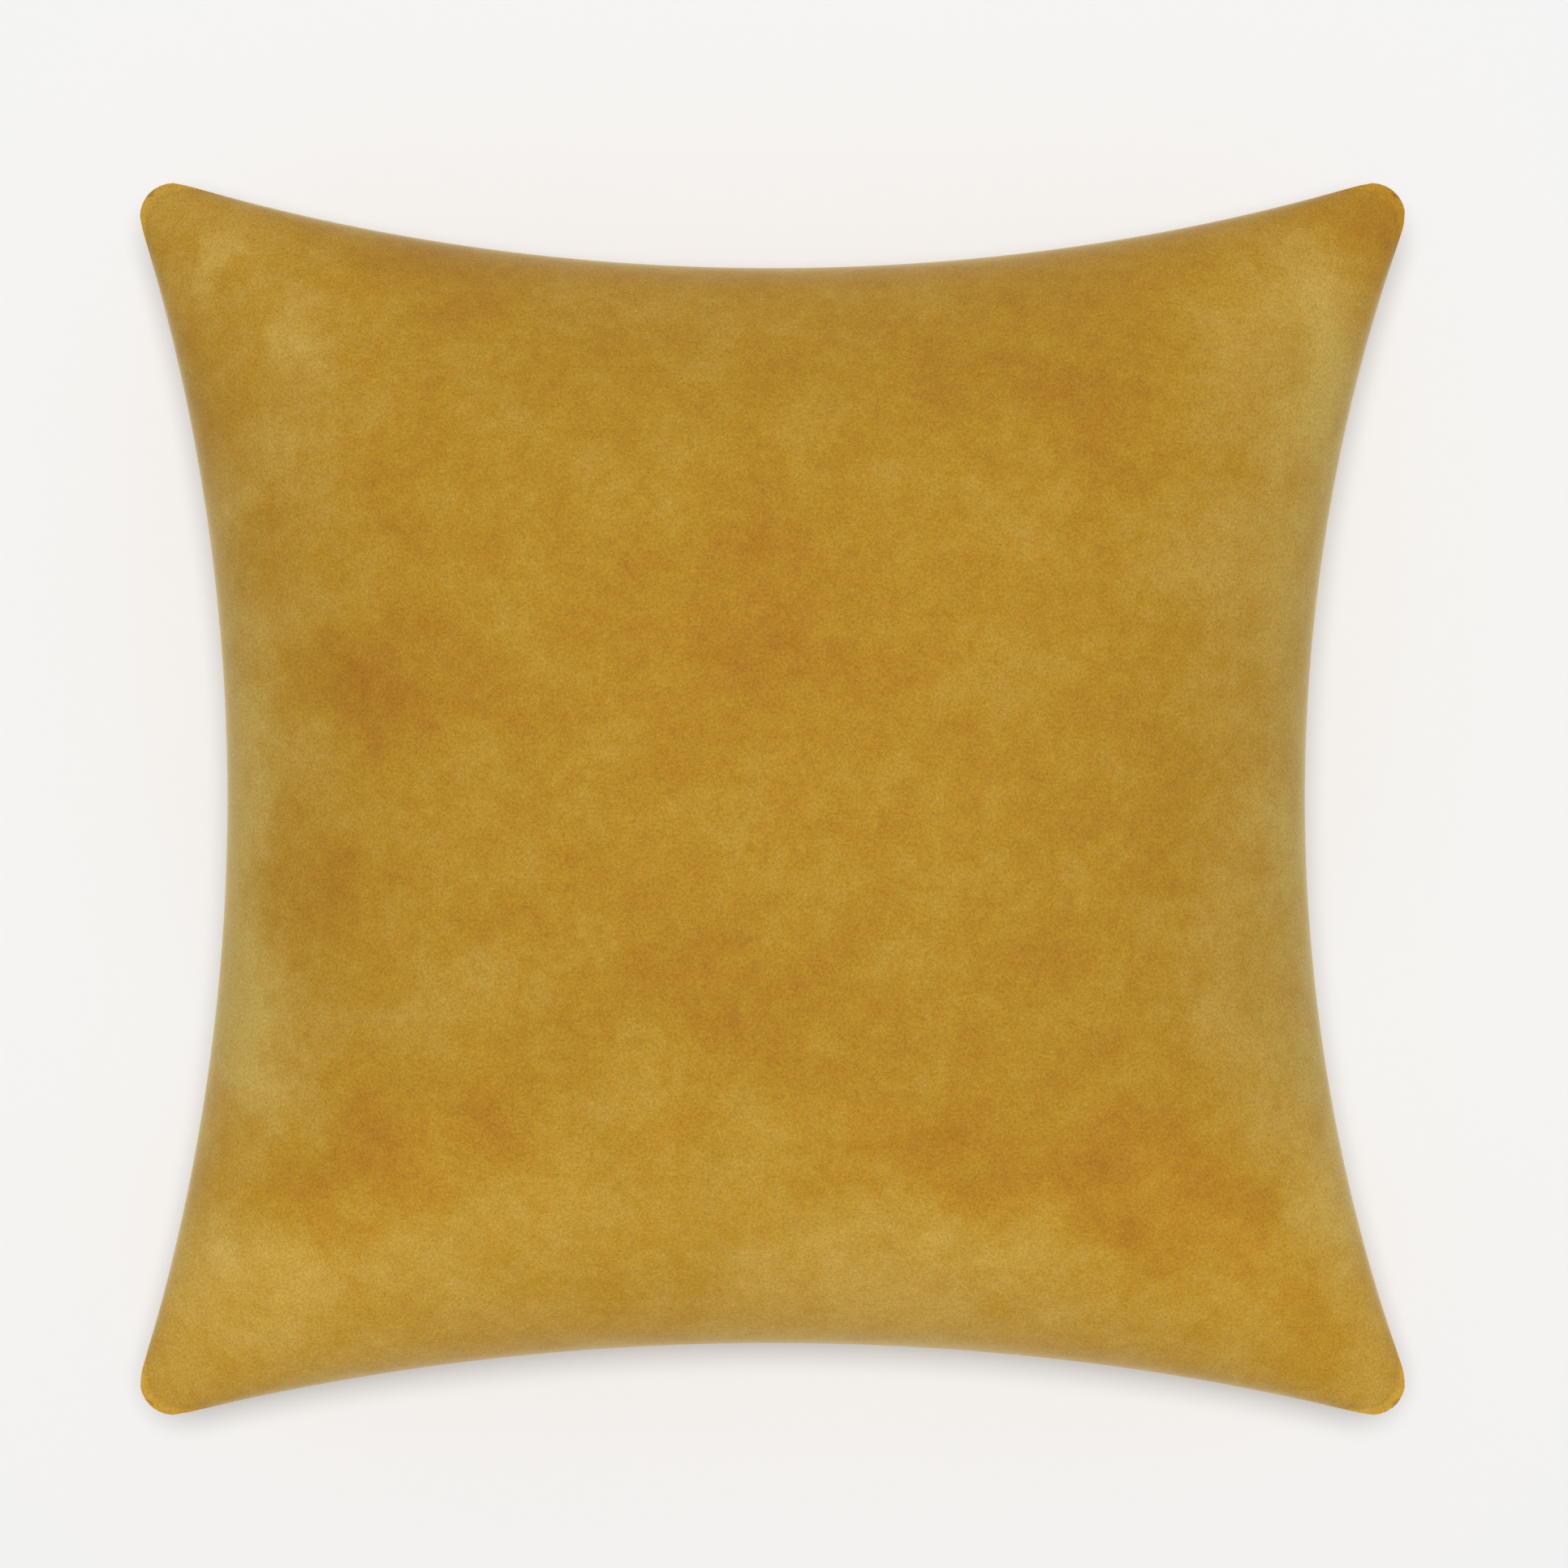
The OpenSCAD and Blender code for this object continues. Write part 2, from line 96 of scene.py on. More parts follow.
# %% Hang the softbox and set the sky
SOFTBOX_HEIGHT = 3.0
SOFTBOX_SIZE = 0.9
SOFTBOX_LEAN = 0.16
SOFTBOX_WATTS = 68
SKY_STRENGTH = 0.30
bpy.ops.object.light_add(type="AREA", location=(0, SOFTBOX_LEAN, SOFTBOX_HEIGHT))
softbox = bpy.context.object
softbox.name = "softbox"
softbox.data.shape = "DISK"
softbox.data.size = SOFTBOX_SIZE
softbox.data.energy = SOFTBOX_WATTS
softbox.rotation_euler = (-math.atan2(SOFTBOX_LEAN, SOFTBOX_HEIGHT), 0, 0)

sky = bpy.data.worlds.new("pale_sky")
bpy.context.scene.world = sky
sky.use_nodes = True
sky.node_tree.nodes["Background"].inputs["Color"].default_value = (1, 1, 1, 1)
sky.node_tree.nodes["Background"].inputs["Strength"].default_value = SKY_STRENGTH
bpy.context.scene.view_settings.view_transform = "Standard"
print(f"softbox of {SOFTBOX_WATTS} W, sky at {SKY_STRENGTH}")

# %% [markdown]
# ## Colours and nodes
# Colours are picked as sRGB hex values, as a dyer's chart gives them, and Blender's shaders
# want linear light, so one function turns the one into the other. Another adds a node.

# %% Helpers for materials
def linear(hex_colour):
    """An sRGB hex colour as linear red, green, blue and alpha."""
    values = [int(hex_colour[i:i + 2], 16) / 255 for i in (1, 3, 5)]
    return [v / 12.92 if v <= 0.04045 else ((v + 0.055) / 1.055) ** 2.4 for v in values] + [1]


def add(material, kind, settings=None, links=None):
    """Adds a node to a material, sets its values and links its inputs from other nodes' sockets."""
    node = material.node_tree.nodes.new(kind)
    for name, value in (settings or {}).items():
        if name in node.inputs:
            node.inputs[name].default_value = value
        else:
            setattr(node, name, value)
    for name, socket in (links or {}).items():
        material.node_tree.links.new(socket, node.inputs[name])
    return node


def new_material(name, **settings):
    """A material with one Principled shader, whose sockets take the settings."""
    material = bpy.data.materials.new(name)
    material.use_nodes = True
    shader = material.node_tree.nodes["Principled BSDF"]
    for socket, value in settings.items():
        shader.inputs[socket.replace("_", " ")].default_value = value
    return material, shader


def dress(thing, material):
    """Gives a piece one material all over."""
    thing.data.materials.clear()
    thing.data.materials.append(material)


print("mid velvet in linear light:", [round(v, 3) for v in linear("#BA8C2D")])

# %% [markdown]
# ## Floor
# The pillow lies on a matt white studio board, wide enough that no view sees its edge.

# %% Lay the floor
FLOOR_SIZE = 40
bpy.ops.mesh.primitive_plane_add(size=FLOOR_SIZE, location=(0, 0, -0.5 * MM))
floor = bpy.context.object
floor.name = "floor"
board, board_shader = new_material("matt_white_board", Roughness=0.9, Specular_IOR_Level=0.2)
board_shader.inputs["Base Color"].default_value = linear("#F2F2F2")
dress(floor, board)
print("floor laid")

# %% [markdown]
# ## The cover's outline
# A filled cover bulges between its seams and pulls them inwards, so each edge becomes a hollow
# arc and each corner a small round ear. Each edge is walked once, from the middle of one ear to
# the middle of the next, so that points can be set out evenly along it.

# %% Work out one edge of the outline
SIDES = ("right", "top", "left", "bottom")
OUTWARDS = {"right": (1, 0), "top": (0, 1), "left": (-1, 0), "bottom": (0, -1)}


def edge_arc(along, dip, ear):
    """The radius of a hollow edge that runs smoothly into its ears, and half the angle it turns."""
    rise = dip - ear
    radius = (along ** 2 + rise ** 2 - ear ** 2) / (2 * dip)
    return radius, math.asin(along / (radius + ear))


def edge_walk(side, draw_in, ear, dips):
    """One edge's points: how far each is along the walk, from -1 to 1, its distance along the
    edge and out of the middle, and its share of the hollow arc."""
    spans = {"right": (HALF_L, HALF_W), "left": (HALF_L, HALF_W),
             "top": (HALF_W, HALF_L), "bottom": (HALF_W, HALF_L)}
    turns = {}
    for name, (half_along, _) in spans.items():
        turns[name] = edge_arc(half_along - draw_in - ear, dips[name], ear)[1]
    half_along, across = spans[side][0] - draw_in, spans[side][1] - draw_in
    along = half_along - ear
    radius, turn = edge_arc(along, dips[side], ear)
    before = SIDES[SIDES.index(side) - 1]
    after = SIDES[(SIDES.index(side) + 1) % 4]
    first = (math.pi / 2 + turns[before] - turn) / 2
    last = (math.pi / 2 + turns[after] - turn) / 2
    start = np.linspace(-first, turn, 30)[:-1]
    arc = np.linspace(-1, 1, 201)
    end = np.linspace(-turn, last, 30)[1:]
    u = np.concatenate([-along + ear * np.sin(start), radius * np.sin(arc * turn),
                        along + ear * np.sin(end)])
    w = np.concatenate([across - ear + ear * np.cos(start),
                        across - dips[side] + radius * (1 - np.cos(arc * turn)),
                        across - ear + ear * np.cos(end)])
    share = np.concatenate([-np.ones(29), arc, np.ones(29)])
    walked = np.concatenate([[0], np.cumsum(np.hypot(np.diff(u), np.diff(w)))])
    middle = walked[29 + 100]
    place = np.where(walked < middle, (walked - middle) / middle,
                     (walked - middle) / (walked[-1] - middle))
    return place, u, w, share


print(f"bottom edge's radius {edge_arc(HALF_W - EAR_R, DIPS['bottom'], EAR_R)[0] / MM:.1f} mm")

# %% [markdown]
# ## The cover's bulge
# Across its middle a full cushion is nearly an ellipse in section, and at its ears it is thin.
# The product of one curve across and one along gives both. Along the zip the stiff tape keeps
# the section the same from end to end.

# %% Work out the bulge
def smooth(x):
    x = np.clip(x, 0, 1)
    return x * x * (3 - 2 * x)


def cushion_form(square, way, rise, draw_in=0, ear=EAR_R, dips=DIPS):
    """Places for points of the flat square from -1 to 1; way is 1 on the front, -1 on the back."""
    s, t = square[:, 0], square[:, 1]
    ring = np.maximum(np.abs(s), np.abs(t))
    reach = np.sin(ring * math.pi / 2)
    safe = np.maximum(ring, 1e-9)
    walk_of = {"right": (s >= np.abs(t), t), "left": (-s >= np.abs(t), -t),
               "top": (t > np.abs(s), -s), "bottom": (-t > np.abs(s), s)}
    placed = np.zeros((len(square), 3))
    for side, (picked, walk) in walk_of.items():
        place, u, w, share = edge_walk(side, draw_in, ear, dips)
        at = (walk / safe)[picked]
        out = np.array(OUTWARDS[side])
        along = np.array((-out[1], out[0]))
        u_at, w_at = np.interp(at, place, u), np.interp(at, place, w)
        far = reach[picked]
        placed[picked, :2] = far[:, None] * (u_at[:, None] * along + w_at[:, None] * out)
        shared = np.abs(np.interp(at, place, share))
        power = np.full(len(at), BULGE_POWER)
        if side == "bottom" and way < 0:
            near = smooth((far - 0.7) / 0.3) * smooth((1 - shared) / 0.3)
            power = BULGE_POWER + (ZIP_BULGE_POWER - BULGE_POWER) * near
        fall = (1 - far ** BULGE_POWER) * (1 - (shared * far) ** power)
        placed[picked, 2] = SEAM_Z + way * rise * np.sqrt(np.maximum(fall, 0))
    return placed


def places(thing):
    """A mesh's points as rows of x, y and z."""
    spots = np.empty(len(thing.data.vertices) * 3)
    thing.data.vertices.foreach_get("co", spots)
    return spots.reshape(-1, 3)


def put(thing, spots):
    """Moves a mesh's points to these places."""
    thing.data.vertices.foreach_set("co", np.asarray(spots, float).ravel())
    thing.data.update()


print("crown at", round(float(cushion_form(np.zeros((1, 2)), 1, CROWN_Z - SEAM_Z)[0, 2]) / MM, 1), "mm")

# %% [markdown]
# ## Sewing the form
# The two panels start as flat square grids, as they are cut. Each is shaped by the form, and the
# pair is joined and its touching edge points are merged, as the seam does.

# %% Shape a grid into a panel and sew two together
def only(*things):
    """Selects these objects and makes the first the active one."""
    bpy.ops.object.select_all(action="DESELECT")
    for thing in things:
        thing.select_set(True)
    bpy.context.view_layer.objects.active = things[0]


def shaped_panel(name, way, rise, cells, draw_in=0, ear=EAR_R, dips=DIPS):
    """A grid that is cut flat and shaped into one side of a cushion."""
    bpy.ops.object.select_all(action="DESELECT")
    bpy.ops.mesh.primitive_grid_add(x_subdivisions=cells, y_subdivisions=cells, size=2)
    panel = bpy.context.object
    panel.name = name
    put(panel, cushion_form(places(panel)[:, :2], way, rise, draw_in, ear, dips))
    if way < 0:
        bpy.ops.object.mode_set(mode="EDIT")
        bpy.ops.mesh.select_all(action="SELECT")
        bpy.ops.mesh.flip_normals()
        bpy.ops.object.mode_set(mode="OBJECT")
    return panel


def sewn(name, front, back):
    """Two panels joined along their edges, with a vertex group on the seam, which stays sharp."""
    seam_z = places(front)[:, 2].min()
    only(front, back)
    bpy.ops.object.join()
    front.name = name
    bpy.ops.object.mode_set(mode="EDIT")
    bpy.ops.mesh.select_all(action="SELECT")
    bpy.ops.mesh.remove_doubles(threshold=0.05 * MM)
    bpy.ops.object.mode_set(mode="OBJECT")
    on_seam = np.where(np.abs(places(front)[:, 2] - seam_z) < 1e-7)[0]
    group = front.vertex_groups.new(name="seam")
    group.add([int(i) for i in on_seam], 1.0, "REPLACE")
    bpy.ops.object.mode_set(mode="EDIT")
    bpy.ops.mesh.select_mode(type="VERT")
    bpy.ops.mesh.select_all(action="DESELECT")
    bpy.ops.object.vertex_group_select()
    bpy.ops.transform.edge_crease(value=1)
    bpy.ops.object.mode_set(mode="OBJECT")
    return front


COVER_CELLS = 96
cover_front = shaped_panel("cover_front", 1, CROWN_Z - SEAM_Z, COVER_CELLS)
cover_back = shaped_panel("cover_back", -1, BACK_DROP, COVER_CELLS)
cover = sewn("cover_form", cover_front, cover_back)
print("cover form:", len(cover.data.vertices), "points")

# %% [markdown]
# ## The zip's line
# The zip is sewn into the back just under the bottom seam and bends round the same centre as
# that seam. Its pieces are drawn in their own directions, down the zip's face, inwards and
# along, and then set on that line. Along it the stiff tape holds the cover flat in section.

# %% Place the zip and flatten the cover along it
ZIP_LEN = 340 * MM
ZIP_DROP = 15 * MM
ZIP_INSET = 4.2 * MM
ZIP_TILT = math.radians(17)
FLAT_DEPTH = 24 * MM
FLAT_FADE = 26 * MM
BOTTOM_R = edge_arc(HALF_W - EAR_R, DIPS["bottom"], EAR_R)[0]
ZIP_R = BOTTOM_R + ZIP_INSET
ZIP_CENTRE_Y = -(HALF_L - DIPS["bottom"] + BOTTOM_R)
ZIP_TURN = ZIP_LEN / ZIP_R


def on_zip(turn):
    """Sets a piece drawn as down the face, inwards and along on the zip, at an angle."""
    return (Matrix.Translation((0, ZIP_CENTRE_Y, 0))
            @ Matrix.Rotation(math.pi / 2 + turn, 4, "Z")
            @ Matrix.Translation((ZIP_R, 0, SEAM_Z - ZIP_DROP))
            @ Matrix.Rotation(math.pi / 2, 4, "X")
            @ Matrix.Rotation(ZIP_TILT - math.pi / 2, 4, "Z"))


def zip_flattened(thing):
    """Draws the back's surface to the zip's straight section, fading out below and beyond it."""
    spots = places(thing)
    x, y = spots[:, 0], spots[:, 1] - ZIP_CENTRE_Y
    radius, turn = np.hypot(x, y), np.abs(np.arctan2(x, y))
    depth = SEAM_Z - spots[:, 2]
    line = BOTTOM_R + np.maximum(ZIP_INSET + (depth - ZIP_DROP) * math.tan(ZIP_TILT), 0)
    near = (1 - smooth((depth - FLAT_DEPTH) / FLAT_FADE)) * (depth > 1e-6)
    near *= 1 - smooth((turn - ZIP_TURN / 2) * ZIP_R / FLAT_FADE)
    near *= spots[:, 1] < 0
    drawn = radius + near * (line - radius)
    spots[:, 0] = x * drawn / radius
    spots[:, 1] = ZIP_CENTRE_Y + y * drawn / radius
    put(thing, spots)
    return near > 0.5


on_tape = zip_flattened(cover)
cover.vertex_groups["seam"].add([int(i) for i in np.where(on_tape)[0]], 1.0, "REPLACE")
print(f"zip on a radius of {ZIP_R / MM:.1f} mm,", int(on_tape.sum()), "points held by it")

# %% [markdown]
# ## Filling it
# A formula's form is too regular. A short cloth simulation with air pressure inside lets the
# panels settle as stretched fabric does, with the seam held in place. How far a point may move
# is capped, so the cover keeps the size that the frame gives it.

# %% Let the fabric settle over its filling
def settle(thing, pressure, cap, frames=20):
    """Inflates a sewn form as cloth with its seam pinned; no point moves further than the cap."""
    start = places(thing)
    only(thing)
    bpy.ops.object.modifier_add(type="CLOTH")
    cloth = thing.modifiers[-1]
    cloth.settings.quality = 5
    cloth.settings.mass = 0.35
    cloth.settings.tension_stiffness = 20
    cloth.settings.compression_stiffness = 20
    cloth.settings.shear_stiffness = 8
    cloth.settings.bending_stiffness = 0.6
    cloth.settings.use_pressure = True
    cloth.settings.uniform_pressure_force = pressure
    cloth.settings.vertex_group_mass = "seam"
    cloth.settings.effector_weights.gravity = 0
    cloth.point_cache.frame_start = 1
    cloth.point_cache.frame_end = frames
    for step in range(1, frames + 1):
        bpy.context.scene.frame_set(step)
    bpy.ops.object.modifier_apply(modifier=cloth.name)
    bpy.context.scene.frame_set(1)
    moved = places(thing) - start
    far = np.linalg.norm(moved, axis=1, keepdims=True)
    put(thing, start + moved * cap / (cap + far))
    return float(far.max())


SETTLE_CAP = 6 * MM
furthest = settle(cover, pressure=4, cap=SETTLE_CAP)
print(f"cover settled; without the cap a point would have moved {furthest / MM:.1f} mm")

# %% [markdown]
# ## Smoothing and the flat foot
# Relaxing the points inside the seam takes out the last trace of the grid, and one subdivision
# rounds it. Where the back lies on the floor its weight presses it flat.

# %% Relax, subdivide and press the foot flat
FOOT_SOFTNESS = 2 * MM


def relaxed(thing, rounds, strength=0.5):
    """Smooths everything but the seam."""
    only(thing)
    group = thing.vertex_groups.new(name="free")
    held = {v.index for v in thing.data.vertices if v.groups}
    group.add([v.index for v in thing.data.vertices if v.index not in held], 1.0, "REPLACE")
    bpy.ops.object.modifier_add(type="SMOOTH")
    smoother = thing.modifiers[-1]
    smoother.factor = strength
    smoother.iterations = rounds
    smoother.vertex_group = "free"
    bpy.ops.object.modifier_apply(modifier=smoother.name)


def subdivided(thing):
    only(thing)
    bpy.ops.object.modifier_add(type="SUBSURF")
    finer = thing.modifiers[-1]
    finer.levels = finer.render_levels = 1
    bpy.ops.object.modifier_apply(modifier=finer.name)


def pressed_flat(thing, floor_z=0.0):
    """Presses what is below a level up to it, with a soft edge."""
    spots = places(thing)
    below = spots[:, 2] - floor_z
    spots[:, 2] = floor_z + (below + np.sqrt(below ** 2 + FOOT_SOFTNESS ** 2)) / 2
    put(thing, spots)


def ears_rounded(thing):
    """Sets the seam's points at each ear back on its circle, which subdividing dents."""
    spots = places(thing)
    on_seam = np.abs(spots[:, 2] - SEAM_Z) < 1e-6
    for side_x in (-1, 1):
        for side_y in (-1, 1):
            centre = np.array([side_x * (HALF_W - EAR_R), side_y * (HALF_L - EAR_R)])
            spokes = spots[:, :2] - centre
            picked = on_seam & (spokes[:, 0] * side_x > 0) & (spokes[:, 1] * side_y > 0)
            lengths = np.linalg.norm(spokes[picked], axis=1, keepdims=True)
            spots[picked, :2] = centre + spokes[picked] / lengths * EAR_R
    put(thing, spots)


relaxed(cover, rounds=12)
subdivided(cover)
ears_rounded(cover)
zip_flattened(cover)
pressed_flat(cover)
print("cover's lowest point", round(places(cover)[:, 2].min() / MM, 2), "mm")

# %% [markdown]
# ## Parting the panels
# The form is parted along the seam into the two real panels, and each gets the thickness of
# velvet with its pile, inwards, so that the outside keeps its size.

# %% Part the panels and give them thickness
def shaded(thing, degrees=50):
    """Smooth shading that keeps edges sharper than an angle."""
    only(thing)
    bpy.ops.object.shade_smooth_by_angle(angle=math.radians(degrees))


def parted(thing):
    """Splits a sewn form into its front and its back."""
    only(thing)
    bpy.ops.object.mode_set(mode="EDIT")
    bpy.ops.mesh.select_mode(type="FACE")
    bpy.ops.mesh.select_all(action="DESELECT")
    bpy.ops.object.mode_set(mode="OBJECT")
    for face in thing.data.polygons:
        face.select = face.center.z > SEAM_Z
    bpy.ops.object.mode_set(mode="EDIT")
    bpy.ops.mesh.separate(type="SELECTED")
    bpy.ops.object.mode_set(mode="OBJECT")
    front = [o for o in bpy.context.selected_objects if o != thing][0]
    return front, thing


def thickened(thing, thickness, way):
    """Gives a panel a wall inwards, whose edge stays on its own side of the seam."""
    only(thing)
    bpy.ops.object.modifier_add(type="SOLIDIFY")
    wall = thing.modifiers[-1]
    wall.thickness = thickness
    wall.offset = -1
    wall.use_even_offset = False
    bpy.ops.object.modifier_apply(modifier=wall.name)
    spots = places(thing)
    if way > 0:
        spots[:, 2] = np.maximum(spots[:, 2], SEAM_Z)
    else:
        spots[:, 2] = np.minimum(spots[:, 2], SEAM_Z)
    put(thing, spots)


# %% [markdown]
# ## Opening the back for the zip
# The back is cut away along the zip, from the bottom seam down to the fold of the lower hem,
# before it is given its thickness, so that the cut edge gets a clean wall of its own.

# %% Cut the opening
ZIP_GAP = 9.2 * MM
HEM_T = 2.8 * MM
SLIVER = 0.3 * MM
fold_r = HEM_T / 2
lower_fold = ZIP_GAP / 2 + fold_r


def opened(thing):
    """Cuts the zip's opening out of the back's surface, down to the lower hem's fold.

    Known fault: the zip's angle also takes in part of each side above the cut, and the faces
    there are deleted too, which leaves a hole in each side of the back.
    """
    low = SEAM_Z - ZIP_DROP + lower_fold * -math.cos(ZIP_TILT)
    half = ZIP_TURN / 2
    only(thing)
    bpy.ops.object.mode_set(mode="EDIT")
    planes = [((0, 0, low), (0, 0, 1)),
              ((0, ZIP_CENTRE_Y, 0), (math.cos(half), -math.sin(half), 0)),
              ((0, ZIP_CENTRE_Y, 0), (math.cos(half), math.sin(half), 0))]
    for point, normal in planes:
        bpy.ops.mesh.select_all(action="SELECT")
        bpy.ops.mesh.bisect(plane_co=point, plane_no=normal)
    bpy.ops.mesh.select_mode(type="FACE")
    bpy.ops.mesh.select_all(action="DESELECT")
    bpy.ops.object.mode_set(mode="OBJECT")
    for face in thing.data.polygons:
        turn = math.atan2(face.center.x, face.center.y - ZIP_CENTRE_Y)
        face.select = face.center.z > low and abs(turn) < half and face.center.y < 0
    bpy.ops.object.mode_set(mode="EDIT")
    bpy.ops.mesh.delete(type="FACE")
    bpy.ops.mesh.select_all(action="SELECT")
    bpy.ops.mesh.remove_doubles(threshold=SLIVER)
    bpy.ops.object.mode_set(mode="OBJECT")


velvet_front, velvet_back = parted(cover)
velvet_front.name = "velvet_front"
velvet_back.name = "velvet_back"
before = len(velvet_back.data.polygons)
opened(velvet_back)
print("opening cut:", before, "->", len(velvet_back.data.polygons), "faces")

# %% Thicken the panels
def kept_inside(thing):
    """Draws in what the thickening pushed out past the bottom seam beside the zip."""
    spots = places(thing)
    x, y = spots[:, 0], spots[:, 1] - ZIP_CENTRE_Y
    radius, turn = np.hypot(x, y), np.abs(np.arctan2(x, y))
    out = (spots[:, 1] < 0) & (turn * ZIP_R < ZIP_LEN / 2 + FLAT_FADE) & (radius < BOTTOM_R)
    scale = np.where(out, BOTTOM_R / radius, 1)
    spots[:, 0] = x * scale
    spots[:, 1] = ZIP_CENTRE_Y + y * scale
    put(thing, spots)
    return int(out.sum())


for panel, side in ((velvet_front, 1), (velvet_back, -1)):
    thickened(panel, VELVET_T, side)
    drawn_in = kept_inside(panel)
    shaded(panel)
    print(panel.name, len(panel.data.polygons), "faces,", drawn_in, "points drawn in")

# %% [markdown]
# ## Hems and the strip beside the zip
# The opening's lower edge is a folded hem, and a narrow strip with its own hem fills in between
# the seam and the zip, as a cover is sewn. Both are flat sections spun round the zip's centre.

# %% Spin sections along the zip
HEM_W = 8 * MM
SPIN_STEPS = 64


def outlined(name, spots):
    """One flat face with its corners at the given places, left in edit mode and selected."""
    bpy.ops.object.select_all(action="DESELECT")
    bpy.ops.mesh.primitive_circle_add(vertices=len(spots), fill_type="NGON")
    thing = bpy.context.object
    thing.name = name
    put(thing, spots)
    bpy.ops.object.mode_set(mode="EDIT")
    bpy.ops.mesh.select_all(action="SELECT")
    return thing


def closed_up():
    """Turns every face of the piece in edit mode outwards, and leaves edit mode."""
    bpy.ops.mesh.select_all(action="SELECT")
    bpy.ops.mesh.normals_make_consistent(inside=False)
    bpy.ops.object.mode_set(mode="OBJECT")


def swept(name, section, turn, steps=SPIN_STEPS):
    """A closed section, drawn down the zip's face and inwards, swept along the zip."""
    start = on_zip(-turn / 2)
    thing = outlined(name, [start @ Vector((u, v, 0)) for u, v in section])
    bpy.ops.mesh.spin(steps=steps, angle=-turn, center=(0, ZIP_CENTRE_Y, 0), axis=(0, 0, 1))
    closed_up()
    return thing


def combined(thing, other, operation):
    """Adds or takes away another piece's volume, and removes that piece."""
    only(thing)
    bpy.ops.object.modifier_add(type="BOOLEAN")
    step = thing.modifiers[-1]
    step.operation = operation
    step.object = other
    step.solver = "EXACT"
    bpy.ops.object.modifier_apply(modifier=step.name)
    only(other)
    bpy.ops.object.delete()


def half_round(u, v, radius, way, steps=8):
    """The rounded nose of a fold, from its outer side to its inner side."""
    angles = [math.pi * i / steps for i in range(steps + 1)]
    return [(u + way * radius * math.sin(a), v - radius * math.cos(a)) for a in angles]


def on_face(inset, depth):
    """A point given as inside the seam and below it, in the zip's own directions."""
    inwards, down = inset - ZIP_INSET, depth - ZIP_DROP
    return (inwards * math.sin(ZIP_TILT) + down * math.cos(ZIP_TILT),
            inwards * math.cos(ZIP_TILT) - down * math.sin(ZIP_TILT))


# %% Hem the opening and add the strip
PLY_GAP = 0.1 * MM
hem_end = ZIP_GAP / 2 + HEM_W
velvet_hem = swept("velvet_hem", (
    [(hem_end, VELVET_T + PLY_GAP), (lower_fold, VELVET_T + PLY_GAP), (lower_fold, 0)]
    + half_round(lower_fold, fold_r, fold_r, -1)[1:] + [(hem_end, HEM_T)]), ZIP_TURN)
strip_outside = [on_face(0.4 * MM, 0.05 * MM), on_face(0.3 * MM, 2.2 * MM)]
strip_inside = [(-hem_end, HEM_T), (-hem_end, VELVET_T + PLY_GAP),
                (-lower_fold, VELVET_T + PLY_GAP), (-lower_fold, VELVET_T),
                on_face(VELVET_T, 2.2 * MM), on_face(VELVET_T, 0.05 * MM)]
velvet_strip = swept("velvet_strip", (
    strip_outside + half_round(-lower_fold, fold_r, fold_r, 1) + strip_inside), ZIP_TURN)
for piece in (velvet_hem, velvet_strip):
    shaded(piece)
print("strip of", len(velvet_strip.data.polygons), "faces between the seam and the zip")

# %% [markdown]
# ## Tapes and coils
# The zip is a coil zip: two woven tapes with a nylon monofilament wound into a flattened coil
# on each. A real number 3 coil has a loop about every 1.2 mm. One loop is made as a ring,
# flattened and leant over as a winding leans, and copied along the line by spinning.

# %% Weave the tapes and wind the coils
TAPE_W = 11 * MM
TAPE_T = 0.6 * MM
COIL_W = 2.2 * MM
COIL_T = 1.9 * MM
COIL_GAP = 1 * MM
COIL_PITCH = 1.2 * MM
WIRE_R = 0.28 * MM
SLIDER_REST = 20 * MM
SLIDER_LEN = 9 * MM
SLIDER_PLAY = 0.3 * MM
tape_v = HEM_T
coil_half = ZIP_LEN / 2 - SLIDER_REST + SLIDER_LEN / 2 + SLIDER_PLAY
coil_turn = 2 * coil_half / ZIP_R
edge_r = TAPE_T / 2


def tape(name, side):
    """One woven tape, with a rounded selvedge on each side."""
    near, far = COIL_GAP / 2 + edge_r, COIL_GAP / 2 + TAPE_W - edge_r
    section = (half_round(near, tape_v + edge_r, edge_r, -1)[::-1]
               + half_round(far, tape_v + edge_r, edge_r, 1))
    return swept(name, [(side * u, v) for u, v in section], ZIP_TURN)


